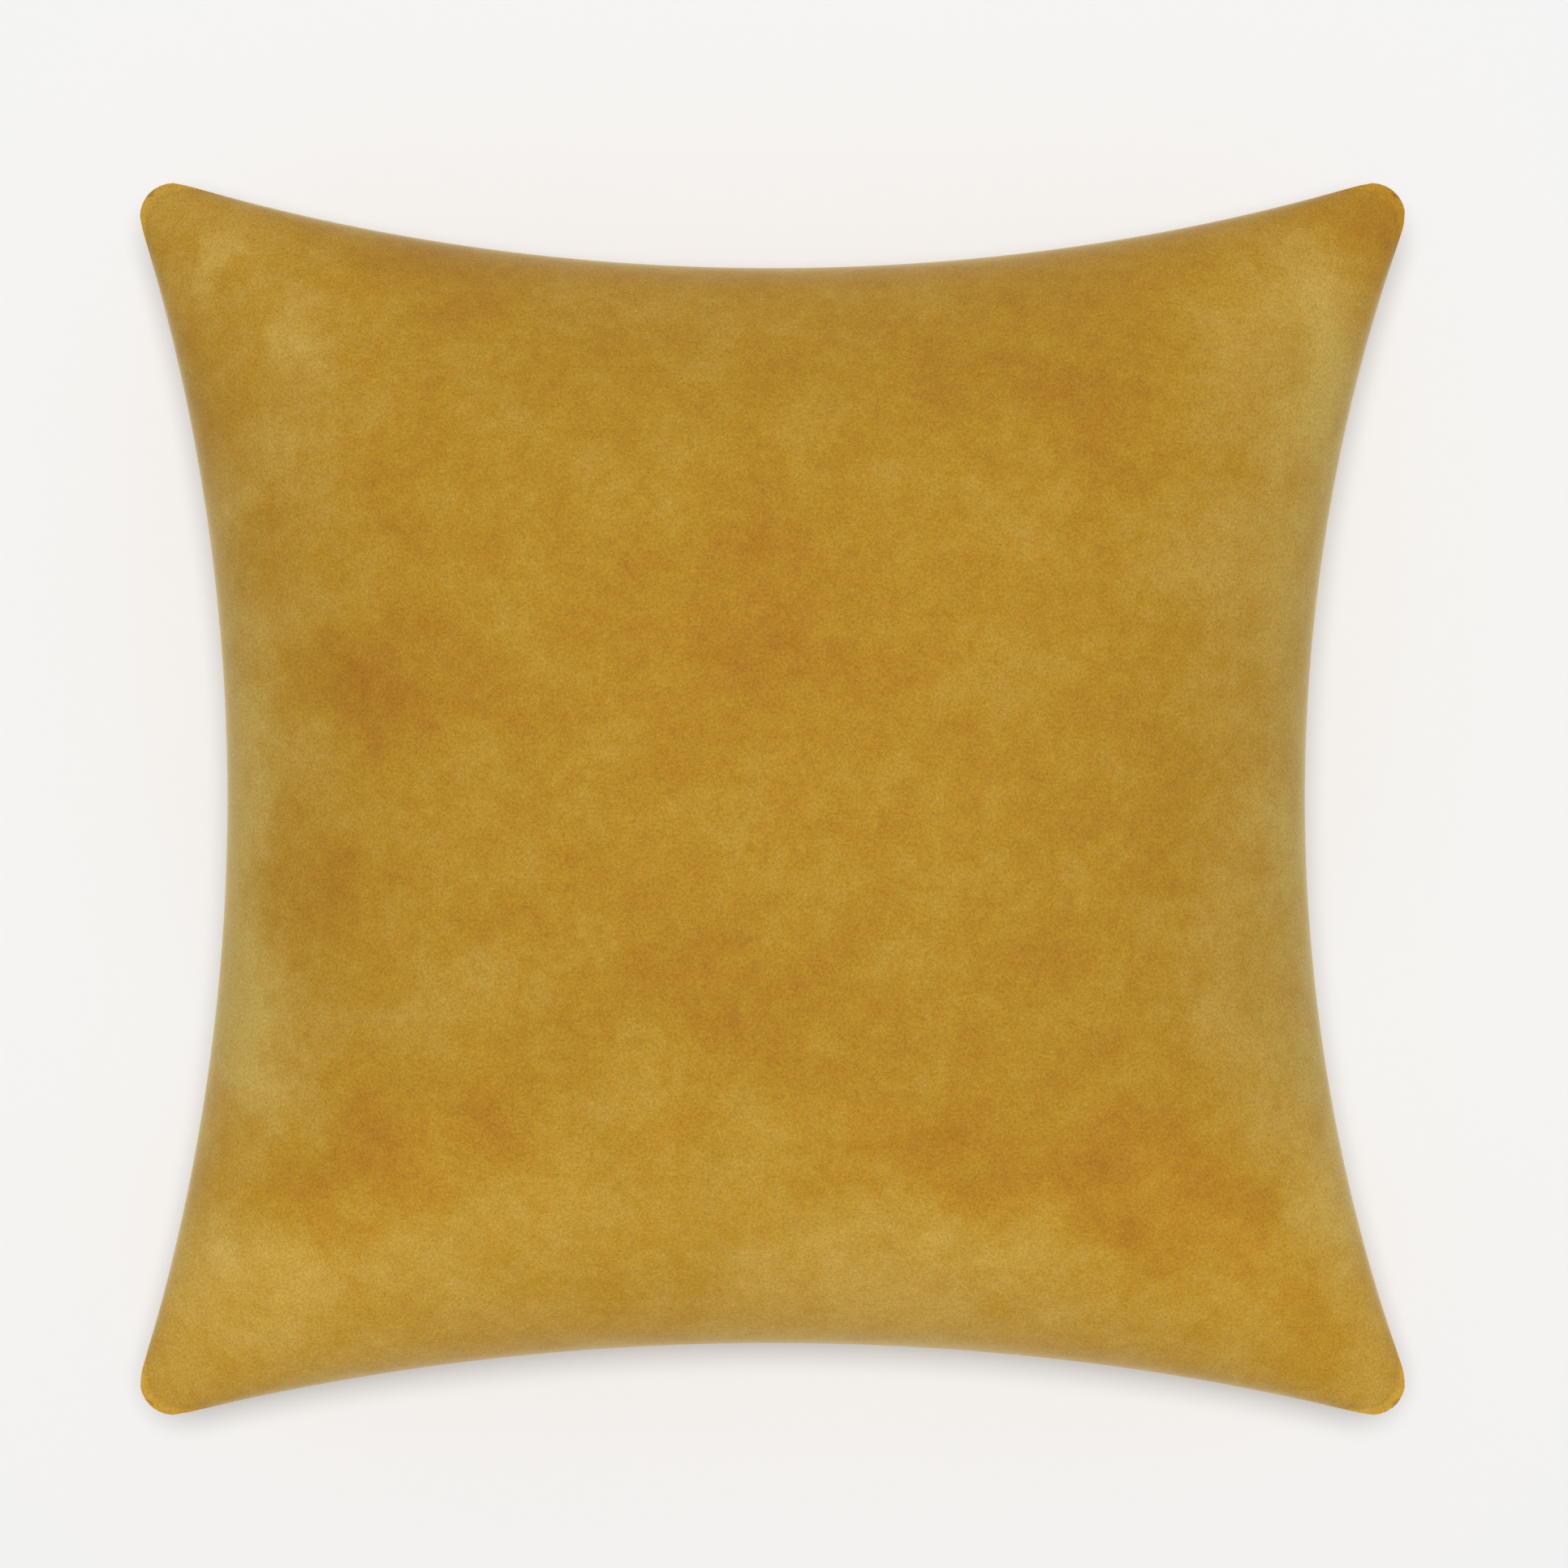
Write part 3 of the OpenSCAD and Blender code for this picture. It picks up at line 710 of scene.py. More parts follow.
def coil(name, side):
    """A row of flattened, leaning loops."""
    bpy.ops.object.select_all(action="DESELECT")
    bpy.ops.mesh.primitive_torus_add(major_radius=1, minor_radius=0.25,
                                     major_segments=16, minor_segments=6)
    thing = bpy.context.object
    thing.name = name
    ring = places(thing)
    flat = np.hypot(ring[:, 0], ring[:, 1])
    away = ring[:, :2] / flat[:, None]
    tube = (flat - 1) / 0.25 * WIRE_R
    middle = np.array([COIL_W / 2 - WIRE_R, COIL_T / 2 - WIRE_R])
    loop = np.zeros_like(ring)
    loop[:, :2] = away * (middle + tube[:, None])
    loop[:, 2] = ring[:, 2] / 0.25 * WIRE_R + side * 0.3 * COIL_PITCH * away[:, 1]
    loop[:, 0] += side * (COIL_GAP + COIL_W) / 2
    loop[:, 1] += tape_v - COIL_T / 2
    start = on_zip(-coil_turn / 2 + COIL_PITCH / ZIP_R)
    put(thing, [start @ Vector(spot) for spot in loop])
    loops = int(2 * coil_half / COIL_PITCH) - 2
    bpy.ops.object.mode_set(mode="EDIT")
    bpy.ops.mesh.select_all(action="SELECT")
    bpy.ops.mesh.spin(steps=loops, dupli=True, angle=-loops * COIL_PITCH / ZIP_R,
                      center=(0, ZIP_CENTRE_Y, 0), axis=(0, 0, 1))
    bpy.ops.object.mode_set(mode="OBJECT")
    only(thing)
    bpy.ops.object.shade_smooth()
    return thing


tape_upper = tape("tape_upper", -1)
tape_lower = tape("tape_lower", 1)
coil_upper = coil("coil_upper", -1)
coil_lower = coil("coil_lower", 1)
for piece in (tape_upper, tape_lower):
    shaded(piece)
print("coil of", len(coil_upper.data.polygons), "faces a side")

# %% [markdown]
# ## Slider and pull
# Both are die-cast: two wings on a post, a bridge that holds the pull, and a waisted pull with
# round shoulders. Each is cut from plates with rounded outlines, then every edge is softened
# as tumbling does.

# %% Build plates and cast parts
def rounded_outline(points, radii, steps=6):
    """A polygon's outline with each corner rounded by its own radius."""
    outline = []
    for i, (corner, radius) in enumerate(zip(points, radii)):
        back = Vector(points[i - 1]) - Vector(corner)
        on = Vector(points[(i + 1) % len(points)]) - Vector(corner)
        back.normalize()
        on.normalize()
        half = back.angle(on) / 2
        reach = radius / math.tan(half)
        first, last = Vector(corner) + back * reach, Vector(corner) + on * reach
        centre = Vector(corner) + (back + on).normalized() * (radius / math.sin(half))
        for step in range(steps + 1):
            spoke = (first - centre).lerp(last - centre, step / steps)
            outline.append(centre + spoke.normalized() * radius)
    return outline


def plate(name, outline, low, high, turn, softness):
    """A plate whose outline is drawn down and along, between two depths, set on the zip."""
    thing = outlined(name, [(u, low, along) for u, along in outline])
    bpy.ops.mesh.extrude_region_move(TRANSFORM_OT_translate={"value": (0, high - low, 0)})
    closed_up()
    if softness:
        bpy.ops.object.modifier_add(type="BEVEL")
        bevel = thing.modifiers[-1]
        bevel.width = softness
        bevel.segments = 2
        bevel.limit_method = "ANGLE"
        bevel.angle_limit = math.radians(50)
        bpy.ops.object.modifier_apply(modifier=bevel.name)
    place = on_zip(turn)
    put(thing, [place @ v.co for v in thing.data.vertices])
    return thing


def fused(name, things):
    """Unites overlapping pieces into one."""
    for other in things[1:]:
        combined(things[0], other, "UNION")
    things[0].name = name
    shaded(things[0], degrees=30)
    return things[0]


def oblong(half_u, low, high):
    return [(-half_u, low), (half_u, low), (half_u, high), (-half_u, high)]


SLIDER_W = 7.6 * MM
WING_T = 1.1 * MM
POST_T = 0.6 * MM
BRIDGE_W = 1.8 * MM
BRIDGE_T = 0.8 * MM
BRIDGE_LEG = 1.4 * MM
BAR_R = 0.65 * MM
BAR_PLAY = 0.15 * MM
slider_turn = (ZIP_LEN / 2 - SLIDER_REST) / ZIP_R
outer_wing_v = tape_v - COIL_T - SLIDER_PLAY - WING_T
inner_wing_v = tape_v + TAPE_T + SLIDER_PLAY
bar_v = outer_wing_v - BAR_PLAY - BAR_R
bridge_v = bar_v - BAR_R - BAR_PLAY - BRIDGE_T
wing_half, long_half = SLIDER_W / 2, SLIDER_LEN / 2
wing = rounded_outline([(-wing_half, long_half), (-wing_half * 0.72, -long_half),
                        (wing_half * 0.72, -long_half), (wing_half, long_half)],
                       [1.6 * MM, 1.1 * MM, 1.1 * MM, 1.6 * MM])
bridge_half = (SLIDER_LEN - 1 * MM) / 2
bridge = plate("bridge", rounded_outline(oblong(BRIDGE_W / 2, -bridge_half, bridge_half),
                                         [0.6 * MM] * 4), bridge_v, outer_wing_v + WING_T / 2,
               slider_turn, 0.3 * MM)
hollow_half = bridge_half - BRIDGE_LEG
hollow = plate("hollow", oblong(BRIDGE_W, -hollow_half, hollow_half), bridge_v + BRIDGE_T,
               outer_wing_v, slider_turn, 0)
combined(bridge, hollow, "DIFFERENCE")
slider_body = fused("slider_body", [
    plate("outer_wing", wing, outer_wing_v, outer_wing_v + WING_T, slider_turn, 0.3 * MM),
    plate("inner_wing", wing, inner_wing_v, inner_wing_v + WING_T, slider_turn, 0.3 * MM),
    plate("post", oblong(POST_T / 2, -long_half / 2, long_half / 2), outer_wing_v + WING_T / 2,
          inner_wing_v + WING_T / 2, slider_turn, 0), bridge])
print("slider:", len(slider_body.data.polygons), "faces")

# %% Cast the pull
PULL_LEN = 18 * MM
PULL_W = 5 * MM
PULL_T = 1.2 * MM
WAIST_W = 3.4 * MM
ARM_GAP = BRIDGE_W + 4 * BAR_PLAY
window_len = math.hypot(bridge_half, bar_v - bridge_v) + 2 * BAR_PLAY
pull_half, waist_half = PULL_W / 2, WAIST_W / 2
pull_flat = rounded_outline(
    [(-pull_half, -BAR_R), (pull_half, -BAR_R), (pull_half, window_len + 1.2 * MM),
     (waist_half, window_len + 4 * MM), (pull_half, PULL_LEN - 4 * MM), (pull_half, PULL_LEN),
     (-pull_half, PULL_LEN), (-pull_half, PULL_LEN - 4 * MM), (-waist_half, window_len + 4 * MM),
     (-pull_half, window_len + 1.2 * MM)],
    [0.5 * MM, 0.5 * MM, 1 * MM, 2 * MM, 1 * MM, 2.3 * MM, 2.3 * MM, 1 * MM, 2 * MM, 1 * MM])
pull_tab = plate("pull_tab", pull_flat, bar_v - PULL_T / 2, bar_v + PULL_T / 2, slider_turn,
                 0.3 * MM)
for name, shape, radii in (
        ("pull_window", oblong(ARM_GAP / 2, -BAR_R - 1 * MM, window_len),
         [0.01 * MM, 0.01 * MM, 0.9 * MM, 0.9 * MM]),
        ("pull_slot", oblong(0.7 * MM, PULL_LEN - 6 * MM, PULL_LEN - 2 * MM), [0.65 * MM] * 4)):
    combined(pull_tab, plate(name, rounded_outline(shape, radii), bar_v - PULL_T,
                             bar_v + PULL_T, slider_turn, 0), "DIFFERENCE")
bpy.ops.object.select_all(action="DESELECT")
bpy.ops.mesh.primitive_cylinder_add(vertices=24, radius=BAR_R, depth=PULL_W)
bar = bpy.context.object
place = on_zip(slider_turn) @ Matrix.Translation((0, bar_v, 0)) @ Matrix.Rotation(math.pi / 2, 4, "Y")
put(bar, [place @ v.co for v in bar.data.vertices])
pull_tab = fused("pull_tab", [pull_tab, bar])
print("pull:", len(pull_tab.data.polygons), "faces")

# %% [markdown]
# ## The inner pad
# Inside is a cotton pad that was bought full and closed by hand. It is a little smaller than
# the cover at its ears and fills it at its crown. It is made as the cover is: two flat panels
# are sewn, the air pressure lets them settle, and what rests on the back is pressed flat.

# %% Sew and settle the pad's casing
PAD_INSET = 22 * MM
PAD_EAR = 15 * MM
PAD_WALL = 0.8 * MM
PAD_CLEARANCE = 2.6 * MM
PAD_CELLS = 64
PAD_CAP = 2 * MM


def inner_dips(draw_in, ear):
    """The dips of a smaller outline whose edges keep the cover's curves."""
    spans = {"right": HALF_L, "left": HALF_L, "top": HALF_W, "bottom": HALF_W}
    return {side: DIPS[side] * ((span - draw_in - ear) / (span - EAR_R)) ** 2
            for side, span in spans.items()}


def filled_form(name, draw_in, ear, clearance, cells):
    """A closed cushion form a little inside the cover."""
    dips = inner_dips(draw_in, ear)
    halves = [shaped_panel(f"{name}_{way}", way, rise - clearance, cells, draw_in, ear, dips)
              for way, rise in ((1, CROWN_Z - SEAM_Z), (-1, BACK_DROP))]
    return sewn(name, *halves)


pad = filled_form("pad_form", PAD_INSET, PAD_EAR, VELVET_T + PAD_CLEARANCE, PAD_CELLS)
furthest = settle(pad, pressure=3, cap=PAD_CAP)
print(f"pad settled; without the cap a point would have moved {furthest / MM:.1f} mm")
relaxed(pad, rounds=6)
subdivided(pad)
pressed_flat(pad, floor_z=VELVET_T + PAD_CLEARANCE / 2)
casing_front, casing_back = parted(pad)
casing_front.name = "casing_front"
casing_back.name = "casing_back"
for panel, side in ((casing_front, 1), (casing_back, -1)):
    thickened(panel, PAD_WALL, side)
    shaded(panel)
print("casing:", len(casing_front.data.polygons), "faces a side")

# %% [markdown]
# ## The fibre fill
# Hollow polyester fibre is blown in and clumps a little, so its surface is softly lumpy. The
# lumps are the sum of a few long waves in random directions, and they only go inwards, so the
# fill stays inside its casing.

# %% Blow in the fill
FILL_CLEARANCE = PAD_WALL + 0.8 * MM
LUMP_DEPTH = 1.6 * MM
LUMP_SIZE = 32 * MM
LUMP_WAVES = 14
luck = np.random.default_rng(7)


def lumpy(thing, depth, size):
    """Presses soft lumps into a form, along its normals."""
    spots = places(thing)
    normals = np.empty(len(spots) * 3)
    thing.data.vertices.foreach_get("normal", normals)
    waves = np.zeros(len(spots))
    for _ in range(LUMP_WAVES):
        direction = luck.normal(size=3)
        direction *= 2 * math.pi / size / np.linalg.norm(direction) * luck.uniform(0.6, 1.4)
        waves += np.sin(spots @ direction + luck.uniform(0, 2 * math.pi))
    waves = smooth(0.5 + waves / LUMP_WAVES ** 0.5 / 3)
    put(thing, spots - normals.reshape(-1, 3) * (depth * waves)[:, None])


fill = filled_form("fibre_fill", PAD_INSET + FILL_CLEARANCE, PAD_EAR,
                   VELVET_T + PAD_CLEARANCE + FILL_CLEARANCE + 0.6 * MM, PAD_CELLS)
relaxed(fill, rounds=6)
subdivided(fill)
lumpy(fill, LUMP_DEPTH, LUMP_SIZE)
pressed_flat(fill, floor_z=VELVET_T + PAD_CLEARANCE / 2 + FILL_CLEARANCE)
only(fill)
bpy.ops.object.shade_smooth()
print("fill:", len(fill.data.polygons), "faces")

# %% [markdown]
# ## The care label
# A blank satin tape is folded in half and caught in the left seam inside the cover. It hangs
# with a slight curl, so it is a fine grid that is curled before it gets its thickness.

# %% Hang the label
LABEL_LEN = 40 * MM
LABEL_DROP = 15 * MM
LABEL_T = 0.5 * MM
LABEL_IN = 11 * MM
SEAM_PLY = 1.2 * MM
CURL = 0.5 * MM
bpy.ops.object.select_all(action="DESELECT")
bpy.ops.mesh.primitive_grid_add(x_subdivisions=40, y_subdivisions=16, size=1)
label = bpy.context.object
label.name = "care_label_tape"
flat = places(label)
along, down = flat[:, 0] * LABEL_LEN, (0.5 - flat[:, 1]) * LABEL_DROP
hang = (down / LABEL_DROP) ** 2
curled = CURL * hang * np.cos(along / LABEL_LEN * 2 * math.pi)
put(label, np.column_stack([-(HALF_W - DIPS["left"]) + LABEL_IN + curled, along,
                            SEAM_Z - SEAM_PLY - 0.1 * MM - down]))
only(label)
bpy.ops.object.modifier_add(type="SOLIDIFY")
label.modifiers[-1].thickness = LABEL_T
label.modifiers[-1].offset = 0
bpy.ops.object.modifier_apply(modifier=label.modifiers[-1].name)
bpy.ops.object.shade_smooth_by_angle(angle=math.radians(50))
print("label:", len(label.data.polygons), "faces")

# %% [markdown]
# ## Mustard velvet
# Cotton velvet is woven with a short cut pile that stands up from the ground. It is matt from above,
# pale at a glancing angle, and wherever a hand brushed the pile over it shows darker and redder or
# paler and greener. So one value, the lay of the pile, runs from brushed down to brushed up, and picks
# the colour. Clouds, hand-brushed patches and streaks move it, a fine grain of pile tips breaks it up,
# and the shader has the sheen of upright fibres. The same value also carries painted light: a painted
# sheen that makes the left and right rims paler, long pale strips along the left, right and top edges
# that are painted sheen too, and a paler bottom. A last factor is painted light as well: it brightens
# the colour towards the bottom and a little at the top edge.

# %% Helpers for the pile's lay
def calculated(material, operation, a, b=None):
    """A sum or product of two numbers or sockets."""
    node = add(material, "ShaderNodeMath", {"operation": operation})
    for i, value in enumerate((a, b)):
        if hasattr(value, "is_output"):
            material.node_tree.links.new(value, node.inputs[i])
        elif value is not None:
            node.inputs[i].default_value = value
    return node.outputs[0]


def cloudy(material, where, size, strength, detail=3.0):
    """Soft noise about zero."""
    noise = add(material, "ShaderNodeTexNoise", {"Scale": 1 / size, "Detail": detail},
                {"Vector": where})
    return add(material, "ShaderNodeMapRange",
               {"From Min": 0.25, "From Max": 0.75, "To Min": -strength, "To Max": strength},
               {"Value": noise.outputs["Fac"]}).outputs["Result"]


def faded(material, socket, start, end, low=0.0, high=1.0):
    """A soft step from a low to a high value."""
    return add(material, "ShaderNodeMapRange",
               {"interpolation_type": "SMOOTHSTEP", "From Min": start, "From Max": end,
                "To Min": low, "To Max": high}, {"Value": socket}).outputs["Result"]


def oval_lay_patch(material, where, middle, reach, strength):
    """An oval patch, given in millimetres, that fades out from its middle."""
    away = add(material, "ShaderNodeVectorMath", {"operation": "SUBTRACT"}, {0: where})
    away.inputs[1].default_value = (middle[0] * MM, middle[1] * MM, 0)
    spread = add(material, "ShaderNodeVectorMath", {"operation": "MULTIPLY"},
                 {0: away.outputs["Vector"]})
    spread.inputs[1].default_value = (1 / (reach[0] * MM), 1 / (reach[1] * MM), 0)
    far = add(material, "ShaderNodeVectorMath", {"operation": "LENGTH"},
              {0: spread.outputs["Vector"]}).outputs["Value"]
    return faded(material, far, 0.1, 1.0, strength, 0.0)


# %% Velvet
PILE_GRAIN = 0.9 * MM
MID_LAY = 0.44
# Where a hand brushed the pile down, each as its middle, its reach and its strength, in mm.
BRUSHED = [((-151, 42), (62, 44), -0.20), ((-172, -36), (40, 66), -0.20),
           ((-180, -140), (66, 46), -0.36), ((-120, -118), (60, 30), -0.14),
           ((158, -150), (74, 56), -0.30), ((205, -195), (40, 50), -0.20),
           ((-211, 155), (40, 52), -0.34), ((-190, 92), (34, 40), -0.22),
           ((226, 226), (46, 34), -0.24), ((-150, 205), (70, 26), -0.10),
           ((-48, -62), (84, 56), -0.14), ((-10, 70), (120, 62), -0.10),
           ((90, 150), (120, 60), -0.05), ((60, -130), (70, 40), -0.12)]
# Where it was brushed up. The long narrow ones along the left, right and top edges are painted sheen:
# they make the rims paler, as pile looks at a glancing angle.
RAISED_AND_EDGE_SHEEN = [((-216, 206), (14, 40), 0.26), ((-180, 180), (22, 18), 0.14),
          ((212, 165), (26, 72), 0.22), ((150, 100), (60, 50), 0.08),
          ((-120, -70), (60, 34), 0.16), ((-205, -20), (22, 110), 0.22),
          ((60, -190), (120, 50), 0.14), ((214, -60), (24, 130), 0.20),
          ((-205, -100), (24, 40), 0.18), ((0, 222), (150, 16), 0.12)]


def velvet_material():
    material, shader = new_material(
        "mustard_cotton_velvet", Roughness=0.85, IOR=1.47, Specular_IOR_Level=0.15,
        Sheen_Weight=0.45, Sheen_Roughness=0.4, Sheen_Tint=linear("#E6DCB8"))
    where = add(material, "ShaderNodeTexCoord").outputs["Object"]
    push = add(material, "ShaderNodeTexNoise", {"Scale": 1 / (34 * MM), "Detail": 4.0},
               {"Vector": where}).outputs["Color"]
    push = add(material, "ShaderNodeVectorMath", {"operation": "SUBTRACT"},
               {0: push}).outputs["Vector"]
    push.node.inputs[1].default_value = (0.5, 0.5, 0.5)
    push = add(material, "ShaderNodeVectorMath", {"operation": "SCALE", "Scale": 70 * MM},
               {"Vector": push}).outputs["Vector"]
    ragged = add(material, "ShaderNodeVectorMath", {"operation": "ADD"},
                 {0: where, 1: push}).outputs["Vector"]
    parts = add(material, "ShaderNodeSeparateXYZ", links={"Vector": ragged}).outputs
    # Painted light: the lay rises towards the bottom, so the lower part shows paler.
    pile_lay_and_painted_light = [faded(material, parts["Y"], -70 * MM, -215 * MM, 0, 0.08),
           # Painted sheen: the lay rises towards the left and right rims, less near the top and bottom,
           # so the rims show paler, as pile does at a glancing angle.
           calculated(material, "MULTIPLY",
                      faded(material, calculated(material, "ABSOLUTE", parts["X"]),
                            140 * MM, 215 * MM, 0, 0.36),
                      faded(material, calculated(material, "ABSOLUTE", parts["Y"]),
                            150 * MM, 215 * MM, 1.0, 0.2)),
           cloudy(material, where, 90 * MM, 0.08), cloudy(material, where, 22 * MM, 0.10),
           cloudy(material, where, 6 * MM, 0.10)]
    for middle, reach, strength in BRUSHED + RAISED_AND_EDGE_SHEEN:
        pile_lay_and_painted_light.append(oval_lay_patch(material, ragged, middle, reach, strength))
    lay_and_light_sum = MID_LAY
    for part in pile_lay_and_painted_light:
        lay_and_light_sum = calculated(material, "ADD", part, lay_and_light_sum)
    colours = add(material, "ShaderNodeValToRGB", links={"Fac": lay_and_light_sum})
    ramp = colours.color_ramp
    ramp.elements[0].position = 0.0
    ramp.elements[0].color = linear("#9E661A")
    ramp.elements[1].position = 1.0
    ramp.elements[1].color = linear("#C0A14E")
    middle = ramp.elements.new(MID_LAY)
    middle.color = linear("#AF8326")
    grain = add(material, "ShaderNodeTexNoise",
                {"Scale": 1 / PILE_GRAIN, "Detail": 2.0, "Roughness": 0.7}, {"Vector": where})
    tips = add(material, "ShaderNodeMapRange",
               {"From Min": 0.25, "From Max": 0.75, "To Min": 0.74, "To Max": 1.26},
               {"Value": grain.outputs["Fac"]})
    specks = add(material, "ShaderNodeTexVoronoi", {"Scale": 1 / (16 * MM)}, {"Vector": where})
    lint = faded(material, specks.outputs["Distance"], 0.035, 0.02, 1.0, 1.25)
    # Painted light: the colour is brightened towards the bottom, and a little at the top edge to make
    # up for the shade the rim gets there.
    painted_light_at_ends = calculated(material, "MULTIPLY",
                      faded(material, parts["Y"], -70 * MM, -200 * MM, 1.0, 1.2),
                      faded(material, parts["Y"], 150 * MM, 215 * MM, 1.0, 1.07))
    colour = add(material, "ShaderNodeVectorMath", {"operation": "SCALE"},
                 {"Vector": colours.outputs["Color"], "Scale": tips.outputs["Result"]})
    colour = add(material, "ShaderNodeVectorMath", {"operation": "SCALE"},
                 {"Vector": colour.outputs["Vector"], "Scale": lint})
    colour = add(material, "ShaderNodeVectorMath", {"operation": "SCALE"},
                 {"Vector": colour.outputs["Vector"], "Scale": painted_light_at_ends})
    material.node_tree.links.new(colour.outputs["Vector"], shader.inputs["Base Color"])
    fuzz = add(material, "ShaderNodeBump", {"Strength": 0.4, "Distance": 0.4 * MM},
               {"Height": grain.outputs["Fac"]})
    material.node_tree.links.new(fuzz.outputs["Normal"], shader.inputs["Normal"])
    return material


velvet = velvet_material()
print("velvet:", len(velvet.node_tree.nodes), "nodes")

# %% [markdown]
# ## Threads, tapes and cottons
# Woven goods share one recipe: two sets of bands cross at the yarns' pitch, their product is
# the over-and-under of the weave, and a little noise makes the yarns uneven. Thread has one
# set of slanting bands, for its twist.

# %% Woven and twisted materials
def banded(material, where, direction, pitch):
    """Bands of one yarn's width along a direction."""
    return add(material, "ShaderNodeTexWave",
               {"wave_type": "BANDS", "bands_direction": direction, "Scale": 0.1 / pitch * 3.14,
                "Distortion": 0.6, "Detail": 1.0}, {"Vector": where}).outputs["Fac"]


def uneven(material, where, size, low, high):
    """A soft noise that runs from a low to a high value."""
    noise = add(material, "ShaderNodeTexNoise", {"Scale": 1 / size, "Detail": 3.0},
                {"Vector": where})
    return add(material, "ShaderNodeMapRange",
               {"From Min": 0.3, "From Max": 0.7, "To Min": low, "To Max": high},
               {"Value": noise.outputs["Fac"]}).outputs["Result"]


def coloured(material, shader, colour, factors):
    """The base colour, scaled by each factor in turn."""
    value = add(material, "ShaderNodeRGB")
    value.outputs[0].default_value = linear(colour)
    socket = value.outputs[0]
    for factor in factors:
        socket = add(material, "ShaderNodeVectorMath", {"operation": "SCALE"},
                     {"Vector": socket, "Scale": factor}).outputs["Vector"]
    material.node_tree.links.new(socket, shader.inputs["Base Color"])


def bumped(material, shader, height, distance, strength=0.5):
    """Raises the surface where a pattern is high."""
    bump = add(material, "ShaderNodeBump", {"Strength": strength, "Distance": distance},
               {"Height": height})
    material.node_tree.links.new(bump.outputs["Normal"], shader.inputs["Normal"])


def cloth_material(name, colour, pitch, directions, roughness, sheen, relief):
    """A woven or twisted material with yarns of one pitch."""
    material, shader = new_material(name, Roughness=roughness, IOR=1.5, Sheen_Weight=sheen,
                                    Specular_IOR_Level=0.3)
    where = add(material, "ShaderNodeTexCoord").outputs["Object"]
    yarns = banded(material, where, directions[0], pitch)
    for direction in directions[1:]:
        other = banded(material, where, direction, pitch)
        yarns = add(material, "ShaderNodeMath", {"operation": "MAXIMUM"},
                    {0: yarns, 1: other}).outputs[0]
    shade = add(material, "ShaderNodeMapRange", {"To Min": 0.78, "To Max": 1.06},
                {"Value": yarns}).outputs["Result"]
    coloured(material, shader, colour, [shade, uneven(material, where, 6 * pitch, 0.93, 1.05)])
    bumped(material, shader, yarns, relief)
    return material


# Cotton-polyester sewing thread, dyed to the velvet; the twist repeats about every 0.6 mm.
cover_thread = cloth_material("dyed_polyester_thread", "#A87C26", 0.6 * MM, ["DIAGONAL"],
                              0.6, 0.2, 0.1 * MM)
# Zip tape is a tight herringbone of about two yarns a millimetre.
zip_tape = cloth_material("woven_polyester_zip_tape", "#9A7430", 0.5 * MM, ["X", "DIAGONAL"],
                          0.7, 0.25, 0.12 * MM)
# Satin label tape, nearly smooth, with fine weft bars.
label_satin = cloth_material("woven_satin_label_tape", "#ECEAE2", 0.35 * MM, ["Y"], 0.45, 0.2,
                             0.04 * MM)
# Plain-weave cotton, about 22 yarns a centimetre.
pad_cotton = cloth_material("plain_weave_cotton", "#EFEBE0", 0.45 * MM, ["X", "Y"], 0.85, 0.15,
                            0.1 * MM)
pad_thread = cloth_material("white_polyester_thread", "#F1EFE8", 0.6 * MM, ["DIAGONAL"],
                            0.6, 0.2, 0.1 * MM)
print("five woven and twisted materials")

# %% [markdown]
# ## Nylon, metal and fibre
# The coil is dyed nylon monofilament, glossy and slightly clear. The slider and pull are zinc
# with antique brass plating, tumbled so that it is brighter on edges. The fill is matt fibre.

# %% Coil, slider and fill materials
def nylon_material():
    material, shader = new_material("dyed_nylon_monofilament", Roughness=0.35, IOR=1.53,
                                    Subsurface_Weight=0.08, Subsurface_Scale=0.4 * MM)
    where = add(material, "ShaderNodeTexCoord").outputs["Object"]
    coloured(material, shader, "#9A7430", [uneven(material, where, 3 * MM, 0.88, 1.08)])
    material.node_tree.links.new(uneven(material, where, 1 * MM, 0.28, 0.45),
                                 shader.inputs["Roughness"])
    return material


def plated_material():
    """Antique brass plating: darker in the hollows, bright where tumbling rubbed the edges."""
    material, shader = new_material("antique_brass_plated_zinc", Metallic=1.0, Roughness=0.35,
                                    IOR=1.5)
    where = add(material, "ShaderNodeTexCoord").outputs["Object"]
    rubbed = add(material, "ShaderNodeBevel", {"samples": 4, "Radius": 0.35 * MM})
    face = add(material, "ShaderNodeNewGeometry").outputs["Normal"]
    turned = add(material, "ShaderNodeVectorMath", {"operation": "DOT_PRODUCT"},
                 {0: rubbed.outputs["Normal"], 1: face}).outputs["Value"]
    worn = add(material, "ShaderNodeMapRange",
               {"From Min": 0.92, "From Max": 1.0, "To Min": 1.3, "To Max": 0.92},
               {"Value": turned}).outputs["Result"]
    coloured(material, shader, "#B8A06A", [worn, uneven(material, where, 1.5 * MM, 0.82, 1.05)])
    material.node_tree.links.new(uneven(material, where, 0.6 * MM, 0.26, 0.5),
                                 shader.inputs["Roughness"])
    bumped(material, shader, uneven(material, where, 0.3 * MM, 0, 1), 0.02 * MM, 0.3)
    return material


def fibre_material():
    material, shader = new_material("hollow_polyester_fibre", Roughness=0.95, IOR=1.5,
                                    Sheen_Weight=0.5, Specular_IOR_Level=0.1)
    where = add(material, "ShaderNodeTexCoord").outputs["Object"]
    coloured(material, shader, "#F6F6F3", [uneven(material, where, 12 * MM, 0.9, 1.0),
                                           uneven(material, where, 1 * MM, 0.85, 1.05)])
    bumped(material, shader, uneven(material, where, 0.8 * MM, 0, 1), 0.8 * MM, 0.6)
    return material


